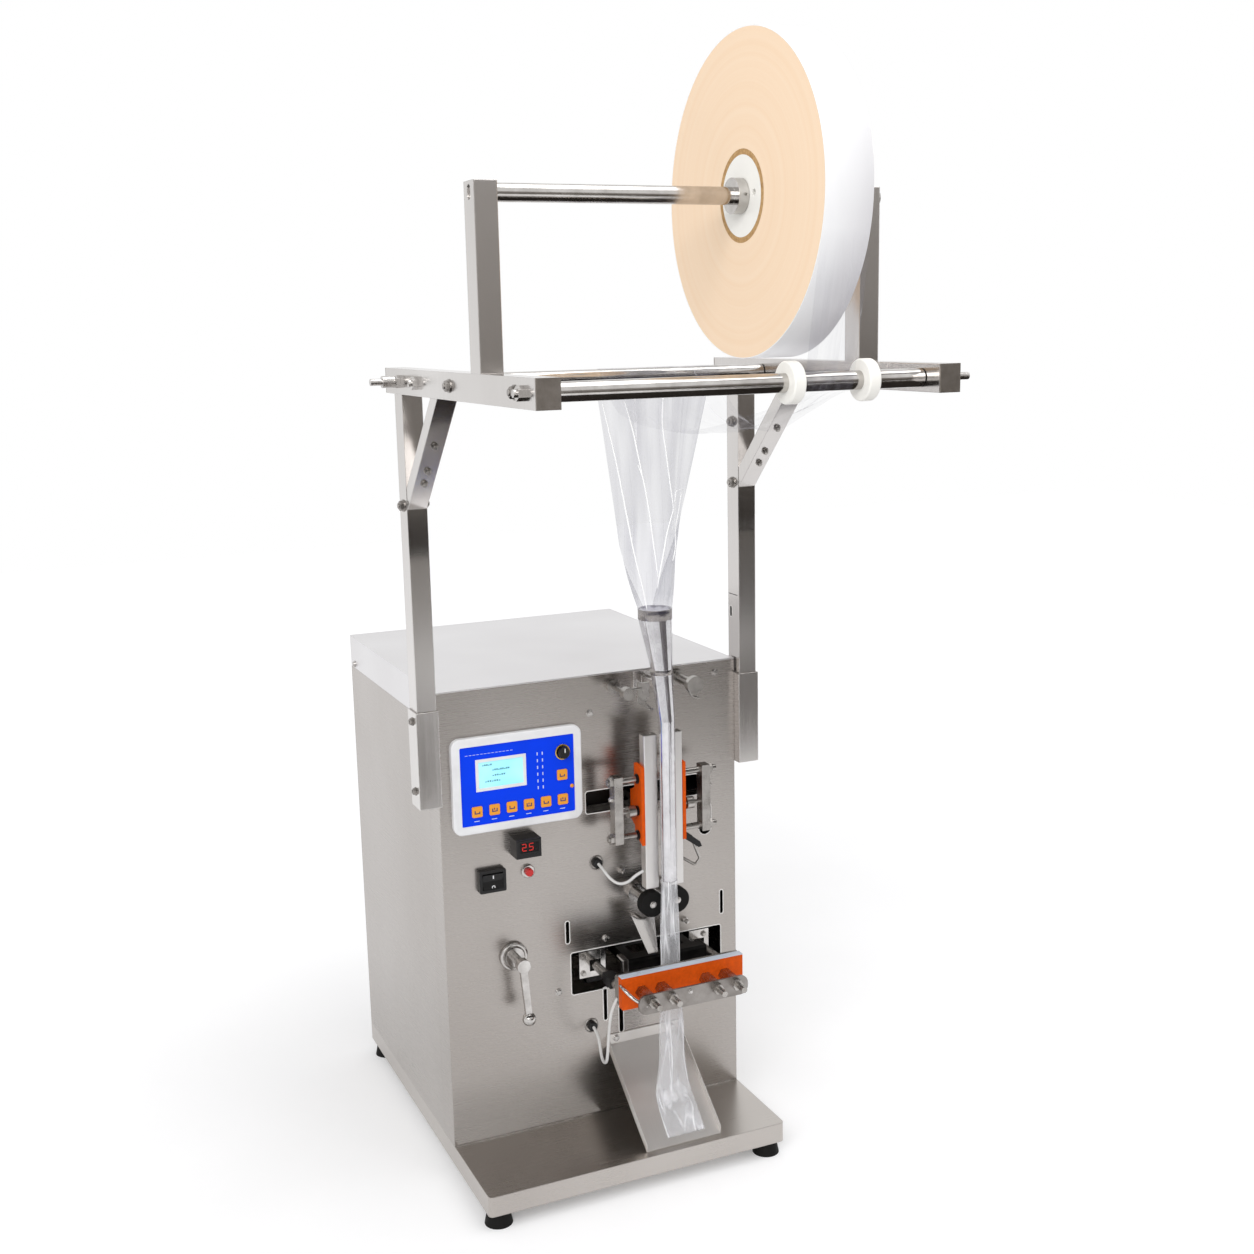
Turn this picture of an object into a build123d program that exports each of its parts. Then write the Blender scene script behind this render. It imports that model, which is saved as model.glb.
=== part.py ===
from build123d import *
from math import cos, sin, pi, radians, tan, hypot, atan2, degrees
import os

# Vertical form fill seal machine, bench model, in millimetres.
# +Z is up, +X is to the right of a person facing the front panel, +Y runs to the back.
# The origin is on the floor under the middle of the machine's own box.

# Cabinet and base
cabinet_width = 420.0
panel_y = 20.0
cabinet_back_y = 437.0
foot_height = 20.0
foot_diameter = 36.0
foot_inset_x = 18.0
foot_inset_y = 20.0
tray_height = 27.0
deck_reach = 136.0
cabinet_height = 615.0
panel_thickness = 3.0
side_sheet = 2.0
panel_return = 40.0
lid_sheet = 2.0
lid_skirt = 46.0

# Overhead frame
tube_width = 25.0
tube_depth = 30.0
tube_wall = 2.0
frame_gap = 2.0
upright_front_y = 8.0
upright_height = 1030.0
sleeve_bottom = 518.0
sleeve_top = 642.0
sleeve_clearance = 0.3
upright_seat = 12.0
arm_front_y = -433.0
arm_back_y = 72.0
brace_drop = 137.0
brace_depth = 18.0
post_height = 190.0
stud_tail = 35.0
nut_reach = 10.0
end_cap = 2.0
stud_diameter = 8.0
arm_stud_y = 16.0

# Film roll and rollers
roll_axis_y = -265.0
roll_axis_z = 1239.0
roll_radius = 172.0
roll_left_x = 71.0
roll_width = 56.0
core_outer = 98.0
core_inner = 86.0
shaft_diameter = 19.0
running_clearance = 0.05
chuck_thickness = 7.0
collar_diameter = 38.0
collar_width = 12.0
collar_gap = 0.5
front_roller_y = -400.0
front_roller_diameter = 20.0
rear_roller_y = -55.0
rear_roller_diameter = 18.0
roller_end_gap = 1.0
guide_ring_diameter = 44.0
guide_ring_width = 14.0
guide_ring_left_x = 46.0
guide_ring_spacing = 89.0
film = 1.0
film_gap = 0.3
slack_leave_angle = 262.0
slack_arrive_angle = 145.0
web_leave_angle = 9.0
slack_points = ((-330.0, 1012.0), (-215.0, 985.0), (-110.0, 1003.0))
slack_x = (64.0, 122.0)
web_x = (-12.0, 147.0)

# Forming unit
unit_x = 75.0
tube_y = -50.0
forming_diameter = 20.0
forming_wall = 1.0
tube_top = 607.0
tube_bottom = 392.0
funnel_top = 749.0
funnel_diameter = 43.0
funnel_lean = 30.0
funnel_band = 13.0
neck_diameter = 27.0
neck_z = 665.0
neck_band = 8.0
neck_lean = 13.0
holder_box = (71.0, 79.0, 644.0, 654.0)
web_end_z = 744.0
channel_width = 18.7
channel_offset = 8.6
channel_depth = 14.0
channel_front_y = -38.0
channel_top = 587.0
channel_bottom = 380.0
seal_plate_width = 4.7
seal_plate_depth = 22.0
seal_plate_middle_depth = 35.0
seal_plate_top = 545.0
seal_plate_bottom = 440.0
seal_rod_diameter = 8.0
seal_rod_lengths = {-1: 48.0, 1: 54.0}
seal_rod_heights = (528.0, 452.0)
seal_nut_radius = 7.0
seal_nut_height = 5.0
seal_pin_diameter = 5.0
seal_pin_z = 485.0
seal_knob_diameter = 16.0
seal_rod_y = -26.0
bracket_bar = 12.0
bracket_bar_depth = 16.0
bracket_offsets = {-1: 68.0, 1: 70.0}
seal_arm_width = 8.0
seal_arm_height = 10.0
wheel_diameter = 35.0
wheel_width = 14.0
wheel_z = 357.0
wheel_gap = 0.8
pull_shaft_diameter = 12.0
bearing_diameter = 26.0
bearing_reach = 8.0

# Jaws
jaw_half = 87.5
jaw_bottom = 243.0
jaw_top = 287.0
jaw_front_y = -88.0
insulator_thickness = 10.0
heater_thickness = 12.0
jaw_travel = 10.0
rear_jaw_half = 58.0
rear_jaw_top = 288.0
rear_jaw_front_y = -42.0
rear_jaw_depth = 20.0
jaw_rod_offset = 78.0
jaw_rod_diameter = 12.0
jaw_bracket_width = 24.0
jaw_bracket_depth = 20.0
jaw_rod_z = 262.0
jaw_rod_back_y = 100.0
jaw_stud_offsets = (-60.0, -32.0, 32.0, 60.0)
jaw_stud_diameter = 8.0
jaw_stud_z = 264.0
bolt_plate_front_y = -120.0
bolt_plate_thickness = 3.0
bolt_plate_half = 78.0
bolt_plate_bottom = 247.0
bolt_plate_top = 273.0
inner_rail_y = 44.0
inner_rail_depth = 8.0
jaw_rail_z = (270.0, 284.0)
seal_rail_z = (478.0, 502.0)

# Openings in the front panel: left, right, bottom and top
jaw_window = (-38.0, 186.0, 226.0, 285.0)
left_window = (-11.0, 66.0, 475.0, 505.0)
right_window = (84.0, 153.0, 478.0, 507.0)
oval_slot = (155.0, 173.0, 420.0, 466.0)
adjust_slots = ((-44.5, -39.5, 300.0, 331.0), (185.8, 190.2, 301.0, 335.0),
                (7.5, 12.5, 180.0, 227.0), (30.0, 36.0, 158.0, 198.0))
window_corner = 3.0

# Film guides, cable leads and chute
guide_left_x = 29.5
guide_right_x = 122.0
guide_drop = 18.0
guide_front_y = -32.0
guide_rod_diameter = 8.0
guide_pin_diameter = 5.0
guide_disc_diameter = 23.0
guide_plate = ((14.0, 6.0), (15.5, 13.5), (21.0, 11.0), (31.0, 11.5), (30.5, -7.0), (26.5, -14.0),
               (16.5, -13.0), (15.0, -2.0))
guide_lever = ((11.5, -4.0), (34.5, -23.0), (34.0, -28.0), (11.5, -12.0))
hook_points = ((-9.0, -2.0), (-3.0, -13.0), (6.0, -16.0))
lever_stud = (124.0, 431.0)
lever_plate = ((115.0, 437.0), (119.0, 440.0), (139.0, 424.0), (142.0, 417.0), (137.0, 416.0),
               (118.0, 430.0))
lever_rod = ((130.0, 424.0), (140.0, 399.0), (133.0, 391.0), (111.0, 406.0))
lever_front_y = -14.0
grommet_diameter = 13.0
lead_diameter = 4.0
channel_lead = ((2.0, 13.0, 406.0), (3.0, 2.0, 403.0), (9.0, -8.0, 391.0), (19.0, -16.0, 384.0),
                (30.0, -22.0, 388.0), (38.0, -27.0, 398.0), (47.7, -30.0, 403.0))
jaw_lead = ((-11.0, 13.0, 177.0), (-11.0, -2.1, 171.9), (-13.7, -14.0, 160.8), (-17.4, -27.6, 152.2),
            (-20.3, -43.7, 152.2), (-22.3, -56.8, 161.3), (-23.0, -62.0, 176.5), (-22.4, -63.4, 192.6),
            (-22.2, -66.2, 208.7), (-21.8, -69.1, 224.7), (-19.5, -71.2, 240.8), (-12.0, -72.0, 254.0))
chute_x = (11.0, 120.0)
chute_top = 158.0
chute_flange = 14.0
chute_front_y = -104.0
chute_sheet = 1.5
chute_side = 12.0
bag_width = 38.0
bag_thickness = 2.0
bag_flat_z = 318.0
bag_bend = 30.0
deflector_sheet = 1.5
deflector_lean = 0.47
deflector_top = (-17.0, 340.0)
deflector_outline = ((33.5, 340.0), (44.0, 334.0), (66.0, 334.0), (61.0, 291.5), (47.5, 291.5))
deflector_stay = (60.0, 318.0)

# Controls on the front panel; their X is counted from the left edge of the bezel
bezel_gap = 15.5
bezel_plan = (0.0, 176.5, 474.0, 600.0)
bezel_reach = 8.0
bezel_corner = 12.0
face_margin = 11.0
face_recess = 1.5
display_plan = (31.5, 99.5, 529.0, 571.0)
key_size = 14.0
key_pitch = 23.4
first_key = 31.5
key_row_z = 503.0
key_reach = 1.5
key_rise = 33.0
display_depth = 1.5
knob_place = 150.2
knob_z = 566.0
knob_diameter = 15.0
knob_reach = 9.0
unit_plan = (76.5, 110.5, 437.0, 462.0)
unit_reach = 25.0
rocker_plan = (30.5, 66.5, 393.0, 423.0)
rocker_frame_reach = 9.0
rocker_wall = 4.0
rocker_axis_y = 16.0
rocker_pin = 2.0
button_place = 99.1
button_z = 411.0
button_diameter = 10.5
button_collar = 18.0
lever_place = 75.0
lever_z = 298.5
lever_length = 84.0
lever_hub = 26.0
lever_shaft = 12.0
lever_y = -14.0


def block(x0, x1, y0, y1, z0, z1):
    """Upright box between two corners."""
    size = Box(x1 - x0, y1 - y0, z1 - z0)
    return Pos((x0 + x1) / 2, (y0 + y1) / 2, (z0 + z1) / 2) * size


def rod_x(x0, x1, y, z, diameter):
    """Round bar that runs along X."""
    return Pos((x0 + x1) / 2, y, z) * Rot(0, 90, 0) * Cylinder(diameter / 2, x1 - x0)


def rod_y(y0, y1, x, z, diameter):
    """Round bar that runs along Y."""
    return Pos(x, (y0 + y1) / 2, z) * Rot(90, 0, 0) * Cylinder(diameter / 2, y1 - y0)


def rod_z(z0, z1, x, y, diameter):
    """Round bar that stands upright."""
    return Pos(x, y, (z0 + z1) / 2) * Cylinder(diameter / 2, z1 - z0)


def plate_y(y0, y1, x0, x1, z0, z1, corner):
    """Plate that faces the front, with rounded corners."""
    outline = RectangleRounded(x1 - x0, z1 - z0, corner)
    place = Plane(origin=((x0 + x1) / 2, y0, (z0 + z1) / 2), x_dir=(1, 0, 0), z_dir=(0, 1, 0))
    return extrude(place * outline, y1 - y0)


def side_profile(points, x0, x1):
    """Prism along X with an outline in the side view, given as Y and Z pairs."""
    outline = Plane.YZ * make_face(Polyline(points + [points[0]]))
    return Pos(x0, 0, 0) * extrude(outline, x1 - x0)


def front_profile(points, y0, y1):
    """Prism along Y with an outline in the front view, given as X and Z pairs."""
    corners = [Vector(x, y0, z) for x, z in points]
    outline = make_face(Polyline(corners + [corners[0]]))
    return extrude(outline, y1 - y0, dir=(0, 1, 0))


def group(*shapes):
    """Several like pieces of one body, kept as separate solids."""
    return Compound(children=[solid for shape in shapes for solid in shape.solids()])


def across(plan, x):
    """Outline of a control, moved to its place across the panel."""
    return plan[0] + x, plan[1] + x, plan[2], plan[3]


half_width = cabinet_width / 2
tray_top = foot_height + tray_height
cabinet_top = tray_top + cabinet_height
deck_front_y = panel_y - deck_reach
inner_y = panel_y + panel_thickness
tube_inner_x = half_width + frame_gap
tube_outer_x = tube_inner_x + tube_width
tube_mid_x = (tube_inner_x + tube_outer_x) / 2
arm_bottom = upright_height
arm_top = arm_bottom + tube_depth
brace_foot = arm_bottom - brace_drop
stud_reach = tube_outer_x + stud_tail
guide_z = cabinet_top - guide_drop
controls_x = bezel_gap - half_width
bezel = across(bezel_plan, controls_x)
display = across(display_plan, controls_x)
unit_box = across(unit_plan, controls_x)
rocker_box = across(rocker_plan, controls_x)
first_key_x = first_key + controls_x
knob_x = knob_place + controls_x
button_x = button_place + controls_x
lever_x = lever_place + controls_x
front_roller_z = arm_bottom + tube_depth / 2
rear_roller_z = front_roller_z
post_top = arm_top + post_height
face_y = panel_y - bezel_reach + face_recess
roll_right_x = roll_left_x + roll_width


def square_tube(x0, x1, y0, y1, z0, z1, along):
    """Rectangular tube, open at both ends."""
    outer = block(x0, x1, y0, y1, z0, z1)
    w = tube_wall
    if along == 'Y':
        return outer - block(x0 + w, x1 - w, y0, y1, z0 + w, z1 - w)
    return outer - block(x0 + w, x1 - w, y0 + w, y1 - w, z0, z1)


def base_tray():
    outer = block(-half_width, half_width, deck_front_y, cabinet_back_y, foot_height, tray_top)
    front_edges = outer.edges().filter_by(Axis.Z).group_by(Axis.Y)[0]
    return fillet(front_edges, 6.0)


def foot_places():
    x = half_width - foot_inset_x
    return [(sx * x, y) for sx in (-1, 1)
            for y in (deck_front_y + foot_inset_y, cabinet_back_y - foot_inset_y)]


def rubber_feet():
    feet = []
    for x, y in foot_places():
        foot = Pos(x, y, foot_height / 2) * Cone(foot_diameter / 2, foot_diameter / 2 - 4, foot_height)
        feet.append(foot)
    return Compound(children=feet)


def front_panel():
    """Front plate with every opening."""
    panel = block(-half_width, half_width, panel_y, inner_y, tray_top, cabinet_top - lid_sheet)
    for x0, x1, z0, z1 in (jaw_window, left_window, right_window):
        panel -= plate_y(panel_y - 1, inner_y + 1, x0, x1, z0, z1, window_corner)
    for x0, x1, z0, z1 in adjust_slots + (oval_slot,):
        panel -= plate_y(panel_y - 1, inner_y + 1, x0, x1, z0, z1, (x1 - x0) / 2 - 0.01)
    for x in wheel_centres():
        panel -= rod_y(panel_y - 1, inner_y + 1, x, wheel_z, pull_shaft_diameter + 2)
    for x, z in ((channel_lead[0][0], channel_lead[0][2]), (jaw_lead[0][0], jaw_lead[0][2])):
        panel -= rod_y(panel_y - 1, inner_y + 1, x, z, grommet_diameter - 4)
    panel -= rod_y(panel_y - 1, inner_y + 1, lever_x, lever_z, lever_shaft + 2 * running_clearance)
    panel -= rod_y(panel_y - 1, inner_y + 1, button_x, button_z, button_collar - 6)
    return panel


def side_returns():
    """Two sides of the front panel, folded back."""
    sheets = []
    for side in (-1, 1):
        x0, x1 = sorted((side * half_width, side * (half_width - side_sheet)))
        sheets.append(block(x0, x1, inner_y, inner_y + panel_return, tray_top, cabinet_top - lid_skirt))
    return Compound(children=sheets)


def side_panel(side):
    x0, x1 = sorted((side * half_width, side * (half_width - side_sheet)))
    return block(x0, x1, inner_y + panel_return, cabinet_back_y - side_sheet,
                 tray_top, cabinet_top - lid_skirt)


def back_panel():
    return block(-half_width, half_width, cabinet_back_y - side_sheet, cabinet_back_y,
                 tray_top, cabinet_top - lid_skirt)


def cabinet_lid():
    """Pan that closes the top, folded down over the sides and the back."""
    lid = block(-half_width, half_width, panel_y, cabinet_back_y, cabinet_top - lid_skirt, cabinet_top)
    inside = block(-half_width + side_sheet, half_width - side_sheet, inner_y,
                   cabinet_back_y - side_sheet, cabinet_top - lid_skirt, cabinet_top - lid_sheet)
    front_gap = block(-half_width, half_width, panel_y, inner_y, cabinet_top - lid_skirt,
                      cabinet_top - lid_sheet)
    return lid - inside - front_gap


def sleeve(side):
    """Socket on the cabinet side that the upright stands in."""
    reach = tube_wall + sleeve_clearance
    x0, x1 = sorted((side * half_width, side * (tube_outer_x + reach)))
    y0 = upright_front_y - reach
    y1 = upright_front_y + tube_depth + reach
    body = block(x0, x1, y0, y1, sleeve_bottom, sleeve_top)
    hx0, hx1 = sorted((side * (tube_inner_x - sleeve_clearance), side * (tube_outer_x + sleeve_clearance)))
    hole = block(hx0, hx1, y0 + tube_wall, y1 - tube_wall, sleeve_bottom + upright_seat - 2, sleeve_top)
    return body - hole


def upright(side):
    x0, x1 = sorted((side * tube_inner_x, side * tube_outer_x))
    y1 = upright_front_y + tube_depth
    return square_tube(x0, x1, upright_front_y, y1, sleeve_bottom + upright_seat - 2, upright_height, 'Z')


def arm(side):
    """Overhead side rail, drilled for the roller axles."""
    x0, x1 = sorted((side * tube_inner_x, side * tube_outer_x))
    rail = square_tube(x0, x1, arm_front_y, arm_back_y, arm_bottom, arm_top, 'Y')
    for y in (front_roller_y, rear_roller_y):
        rail -= rod_x(x0 - 1, x1 + 1, y, front_roller_z, stud_diameter + 2 * running_clearance)
    return rail


def arm_end_caps():
    """Plugs that close the ends of both arms."""
    caps = []
    for side in (-1, 1):
        x0, x1 = sorted((side * tube_inner_x, side * tube_outer_x))
        for y in (arm_front_y - end_cap, arm_back_y):
            caps.append(block(x0, x1, y, y + end_cap, arm_bottom, arm_top))
    return Compound(children=caps)


def arm_stud():
    """Stud on the left arm, above the upright, with a spacer and a nut."""
    y = arm_stud_y
    z = front_roller_z
    stud = rod_x(-stud_reach, -tube_outer_x, y, z, stud_diameter)
    stud += rod_x(-tube_outer_x - 21.0, -tube_outer_x - 6.0, y, z, 14.0)
    nut = extrude(RegularPolygon(7.5, 6), 5.0)
    stud += Pos(-tube_outer_x, y, z) * Rot(0, -90, 0) * nut
    return stud


def brace(side):
    """Diagonal stay from the upright to the arm."""
    x0, x1 = sorted((side * (tube_inner_x + 0.5), side * (tube_outer_x - 0.5)))
    rise = arm_bottom - brace_foot
    slant = brace_depth * 2 ** 0.5
    y0 = upright_front_y
    outer = [(y0, brace_foot), (y0, brace_foot + slant), (y0 - rise + slant, arm_bottom), (y0 - rise, arm_bottom)]
    return side_profile(outer, x0, x1)


def roll_post(side):
    x0, x1 = sorted((side * tube_inner_x, side * tube_outer_x))
    y0 = roll_axis_y - tube_depth / 2
    post = square_tube(x0, x1, y0, y0 + tube_depth, arm_top, post_top, 'Z')
    post += block(x0, x1, y0, y0 + tube_depth, post_top - tube_wall, post_top)
    bore = shaft_diameter + 2 * running_clearance
    if side > 0:
        post -= rod_x(x0 - 1, x1 + 1, roll_axis_y, roll_axis_z, bore)
    else:
        post -= rod_x(x0 + tube_wall, x1 + 1, roll_axis_y, roll_axis_z, bore)
        post -= plate_x(x0 - 1, x0 + tube_wall, roll_axis_y, roll_axis_z, 10, 15)
    return post


def plate_x(x0, x1, y, z, width, height):
    """Oblong that faces the side."""
    slot = SlotOverall(height, width, rotation=90)
    return Plane(origin=(x0, y, z), x_dir=(0, 1, 0), z_dir=(1, 0, 0)) * extrude(slot, x1 - x0)


def roll_shaft():
    left = -tube_outer_x + tube_wall
    shaft = rod_x(left, tube_outer_x + 5, roll_axis_y, roll_axis_z, shaft_diameter)
    for x in (roll_left_x - collar_gap - collar_width, roll_right_x + collar_gap):
        shaft += rod_x(x, x + collar_width, roll_axis_y, roll_axis_z, collar_diameter)
    return shaft


def ring_x(x0, x1, y, z, outer, inner):
    return rod_x(x0, x1, y, z, outer) - rod_x(x0 - 1, x1 + 1, y, z, inner)


def film_roll():
    return ring_x(roll_left_x, roll_right_x, roll_axis_y, roll_axis_z, 2 * roll_radius, core_outer)


def roll_core():
    return ring_x(roll_left_x, roll_right_x, roll_axis_y, roll_axis_z, core_outer, core_inner)


def roll_chucks():
    """Two discs that carry the core on the shaft."""
    bore = shaft_diameter + 2 * running_clearance
    discs = []
    for x in (roll_left_x, roll_right_x - chuck_thickness):
        disc = ring_x(x, x + chuck_thickness, roll_axis_y, roll_axis_z, core_inner, bore)
        disc -= rod_x(x - 1, x + chuck_thickness + 1, roll_axis_y - 28, roll_axis_z + 2, 7)
        discs.append(disc)
    return Compound(children=discs)


def roller(y, diameter):
    x = tube_inner_x - roller_end_gap
    bore = stud_diameter + 2 * running_clearance
    return ring_x(-x, x, y, front_roller_z, diameter, bore)


def roller_axle(y, left, right):
    """Fixed bar through a roller, with a nut outside each arm."""
    axle = rod_x(left, right, y, front_roller_z, stud_diameter)
    for side in (-1, 1):
        nut = Pos(side * (tube_outer_x + 3.25), y, front_roller_z) * Rot(0, 90, 0)
        nut *= extrude(RegularPolygon(7.5, 6), 3.25, both=True)
        axle += nut
    return axle


def front_axle():
    return roller_axle(front_roller_y, -tube_outer_x - nut_reach, stud_reach)


def rear_axle():
    return roller_axle(rear_roller_y, -tube_outer_x - nut_reach, tube_outer_x + nut_reach)


def guide_rings():
    rings = []
    for n in range(2):
        x = guide_ring_left_x + n * guide_ring_spacing
        ring = ring_x(x, x + guide_ring_width, front_roller_y, front_roller_z,
                      guide_ring_diameter, front_roller_diameter)
        outer = ring.edges().filter_by(GeomType.CIRCLE).group_by(SortBy.RADIUS)[-1]
        rings.append(fillet(outer, 2.0))
    return Compound(children=rings)


def tangent_normal(ya, za, ra, yb, zb, rb, turn):
    """Unit normal of the belt line that touches two circles on the same side."""
    dy, dz = ya - yb, za - zb
    gap = hypot(dy, dz)
    lean = turn * degrees(atan2((1 - ((rb - ra) / gap) ** 2) ** 0.5, (rb - ra) / gap))
    angle = degrees(atan2(dz, dy)) + lean
    return cos(radians(angle)), sin(radians(angle))


def funnel_sections(grow):
    """Circles that the funnel passes through: height, centre Y and radius."""
    return [(funnel_top, tube_y + funnel_lean, funnel_diameter / 2 + grow),
            (funnel_top - funnel_band, tube_y + funnel_lean, funnel_diameter / 2 + grow),
            (neck_z + neck_band, tube_y + neck_lean, neck_diameter / 2 + grow),
            (neck_z, tube_y + neck_lean, neck_diameter / 2 + grow),
            (tube_top, tube_y, forming_diameter / 2 + grow),
            (tube_bottom, tube_y, forming_diameter / 2 + grow)]


def funnel_solid(grow, extra):
    """Round funnel that leans back above a straight tube."""
    sections = funnel_sections(grow)
    body = None
    for upper, lower in zip(sections[:-1], sections[1:]):
        faces = []
        for z, y, r in (lower, upper):
            faces.append(Pos(unit_x, y, z) * Circle(r))
        piece = loft(faces)
        body = piece if body is None else body + piece
    if extra:
        z, y, r = sections[0]
        body += Pos(unit_x, y, z + extra / 2) * Cylinder(r, extra)
        z, y, r = sections[-1]
        body += Pos(unit_x, y, z - extra / 2) * Cylinder(r, extra)
    return body


def forming_tube():
    return funnel_solid(0, 0) - funnel_solid(-forming_wall, 1)


def film_sleeve():
    """Film closed round the funnel and the forming tube."""
    outer = funnel_solid(film_gap + film, 0)
    inner = funnel_solid(film_gap, 1)
    trim = block(unit_x - 60, unit_x + 60, tube_y - 60, tube_y + 80, web_end_z, funnel_top + 5)
    x0, x1, z0, z1 = holder_box
    slot = block(x0 - 0.5, x1 + 0.5, tube_y, panel_y, z0 - 0.5, z1 + 0.5)
    return outer - inner - trim - slot


def tube_holder():
    """Bar from the panel to the back of the neck; it carries the forming tube."""
    x0, x1, z0, z1 = holder_box
    bar = block(x0, x1, tube_y + neck_lean, panel_y, z0, z1)
    bar += block(x0 - 12, x1 + 12, panel_y - 4, panel_y, z0 - 6, z1 + 6)
    return bar - funnel_solid(0, 0)


def channel(side):
    """Aluminium bar of the vertical sealer, grooved at the back."""
    x0, x1 = sorted((unit_x + side * channel_offset, unit_x + side * (channel_offset + channel_width)))
    y1 = channel_front_y + channel_depth
    bar = block(x0, x1, channel_front_y, y1, channel_bottom, channel_top)
    bar -= block(x0 + 4, x1 - 4, y1 - 7, y1, channel_bottom, channel_top)
    upright_edges = bar.edges().filter_by(Axis.Z).group_by(Axis.Y)[0]
    return fillet(upright_edges, 1.2)


def seal_plate(side):
    """Insulating plate beside the bar, deeper at the middle, drilled for the rods and the pin."""
    near = unit_x + side * (channel_offset + channel_width)
    x0, x1 = sorted((near, near + side * seal_plate_width))
    y0 = channel_front_y
    y1 = y0 + seal_plate_depth
    y2 = y0 + seal_plate_middle_depth
    low, high = seal_plate_bottom, seal_plate_top
    outline = [(y0, low), (y0, high), (y1, high + 2), (y1, seal_pin_z + 29), (y2, seal_pin_z + 23),
               (y2, seal_pin_z - 15), (y1, seal_pin_z - 23), (y1, low + 14)]
    plate = side_profile(outline, x0, x1)
    for z in seal_rod_heights:
        plate -= rod_x(x0 - 1, x1 + 1, seal_rod_y, z, seal_rod_diameter)
    return plate - rod_x(x0 - 1, x1 + 1, seal_rod_y, seal_pin_z, seal_pin_diameter)


def seal_support(side):
    """Two rods and a knobbed pin in an upright bar, with a nut on each rod."""
    near = unit_x + side * (channel_offset + channel_width)
    x0, x1 = sorted((near, near + side * seal_rod_lengths[side]))
    bar_x = unit_x + side * bracket_offsets[side]
    b0, b1 = sorted((bar_x, bar_x - side * bracket_bar))
    y0 = seal_rod_y - bracket_bar_depth / 2
    body = block(b0, b1, y0, y0 + bracket_bar_depth, seal_rod_heights[1] - 7, seal_rod_heights[0] + 7)
    for z in seal_rod_heights:
        body += rod_x(x0, x1, seal_rod_y, z, seal_rod_diameter)
        nut = extrude(RegularPolygon(seal_nut_radius, 6), seal_nut_height)
        body += Pos(bar_x, seal_rod_y, z) * Rot(0, 90 * side, 0) * nut
    p0, p1 = sorted((near, bar_x))
    body += rod_x(p0, p1, seal_rod_y, seal_pin_z, seal_pin_diameter)
    middle = (near + bar_x - side * bracket_bar) / 2
    return body + rod_x(middle - 5, middle + 5, seal_rod_y, seal_pin_z, seal_knob_diameter)


def seal_arm(side):
    """Bar that carries one half of the vertical sealer, from the rail through the window."""
    x = unit_x + side * (channel_offset + channel_width / 2)
    half = seal_arm_width / 2
    z0, z1 = (sum(seal_rail_z) - seal_arm_height) / 2, (sum(seal_rail_z) + seal_arm_height) / 2
    return block(x - half, x + half, channel_front_y + channel_depth - 7, inner_rail_y, z0, z1)


def inner_rails():
    """Cross bars inside the cabinet that carry the sealer and the jaws."""
    x = half_width - side_sheet
    rails = []
    for z0, z1 in (seal_rail_z, jaw_rail_z):
        rails.append(block(-x, x, inner_rail_y, inner_rail_y + inner_rail_depth, z0, z1))
    return Compound(children=rails)


def wheel_centres():
    reach = (wheel_diameter + wheel_gap) / 2
    return [unit_x - reach, unit_x + reach]


def pull_wheel(n):
    x = wheel_centres()[n]
    wheel = rod_y(channel_front_y, channel_front_y + wheel_width, x, wheel_z, wheel_diameter)
    rims = wheel.edges().filter_by(GeomType.CIRCLE)
    wheel = fillet(rims, 1.5)
    return wheel - rod_y(channel_front_y - 1, channel_front_y + wheel_width + 1, x, wheel_z, 8)


def pull_shaft(n):
    x = wheel_centres()[n]
    front = channel_front_y + wheel_width
    shaft = rod_y(front, inner_y + 30, x, wheel_z, pull_shaft_diameter)
    shaft += rod_y(channel_front_y, front, x, wheel_z, 8)
    return shaft


def pull_bearings():
    """Flanged bearings on the panel for the two pull shafts."""
    bearings = []
    for x in wheel_centres():
        body = rod_y(panel_y - bearing_reach, panel_y, x, wheel_z, bearing_diameter)
        body -= rod_y(panel_y - bearing_reach - 1, panel_y + 1, x, wheel_z,
                      pull_shaft_diameter + 2 * running_clearance)
        bearings.append(body)
    return Compound(children=bearings)


def deflector_y(z):
    """Y of the back of the sloping plate at a height."""
    return deflector_top[0] - deflector_lean * (deflector_top[1] - z)


def deflector_plate():
    """Sloping plate that leads the bag into the jaws, on its stay."""
    bottom = deflector_outline[-1][1]
    top = deflector_top[1]
    side = [(deflector_y(top), top), (deflector_y(bottom), bottom),
            (deflector_y(bottom) - deflector_sheet, bottom), (deflector_y(top) - deflector_sheet, top)]
    xs = [x for x, z in deflector_outline]
    plate = side_profile(side, min(xs), max(xs)) & front_profile(list(deflector_outline), -60.0, panel_y)
    x, z = deflector_stay
    stay = rod_y(deflector_y(z) - 0.5, panel_y, x, z, 8.0)
    cut = side_profile([(deflector_y(top) - 0.5, top), (deflector_y(bottom) - 0.5, bottom),
                        (deflector_y(bottom) - 30, bottom), (deflector_y(top) - 30, top)], x - 10, x + 10)
    return plate + (stay - cut)


def film_guide_left():
    """Round bar from the panel with a knob, a film plate and a drilled lever."""
    x, z, y = guide_left_x, guide_z, guide_front_y
    body = rod_y(y, panel_y, x, z, guide_rod_diameter)
    body += rod_y(panel_y - 8, panel_y, x, z, 2.2 * guide_rod_diameter)
    body += rod_y(y - 4, y + 8, x, z, 2 * guide_rod_diameter)
    body += rod_x(x, x + 20, y + 2, z + 4.5, guide_pin_diameter - 1)
    body += front_profile([(x + dx, z + dz) for dx, dz in guide_plate], y + 1, y + 4)
    lever = front_profile([(x + dx, z + dz) for dx, dz in guide_lever], y - 2, y + 2)
    return body + (lever - rod_y(y - 3, y + 3, x + 30, z - 22.5, 2.6))


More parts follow.
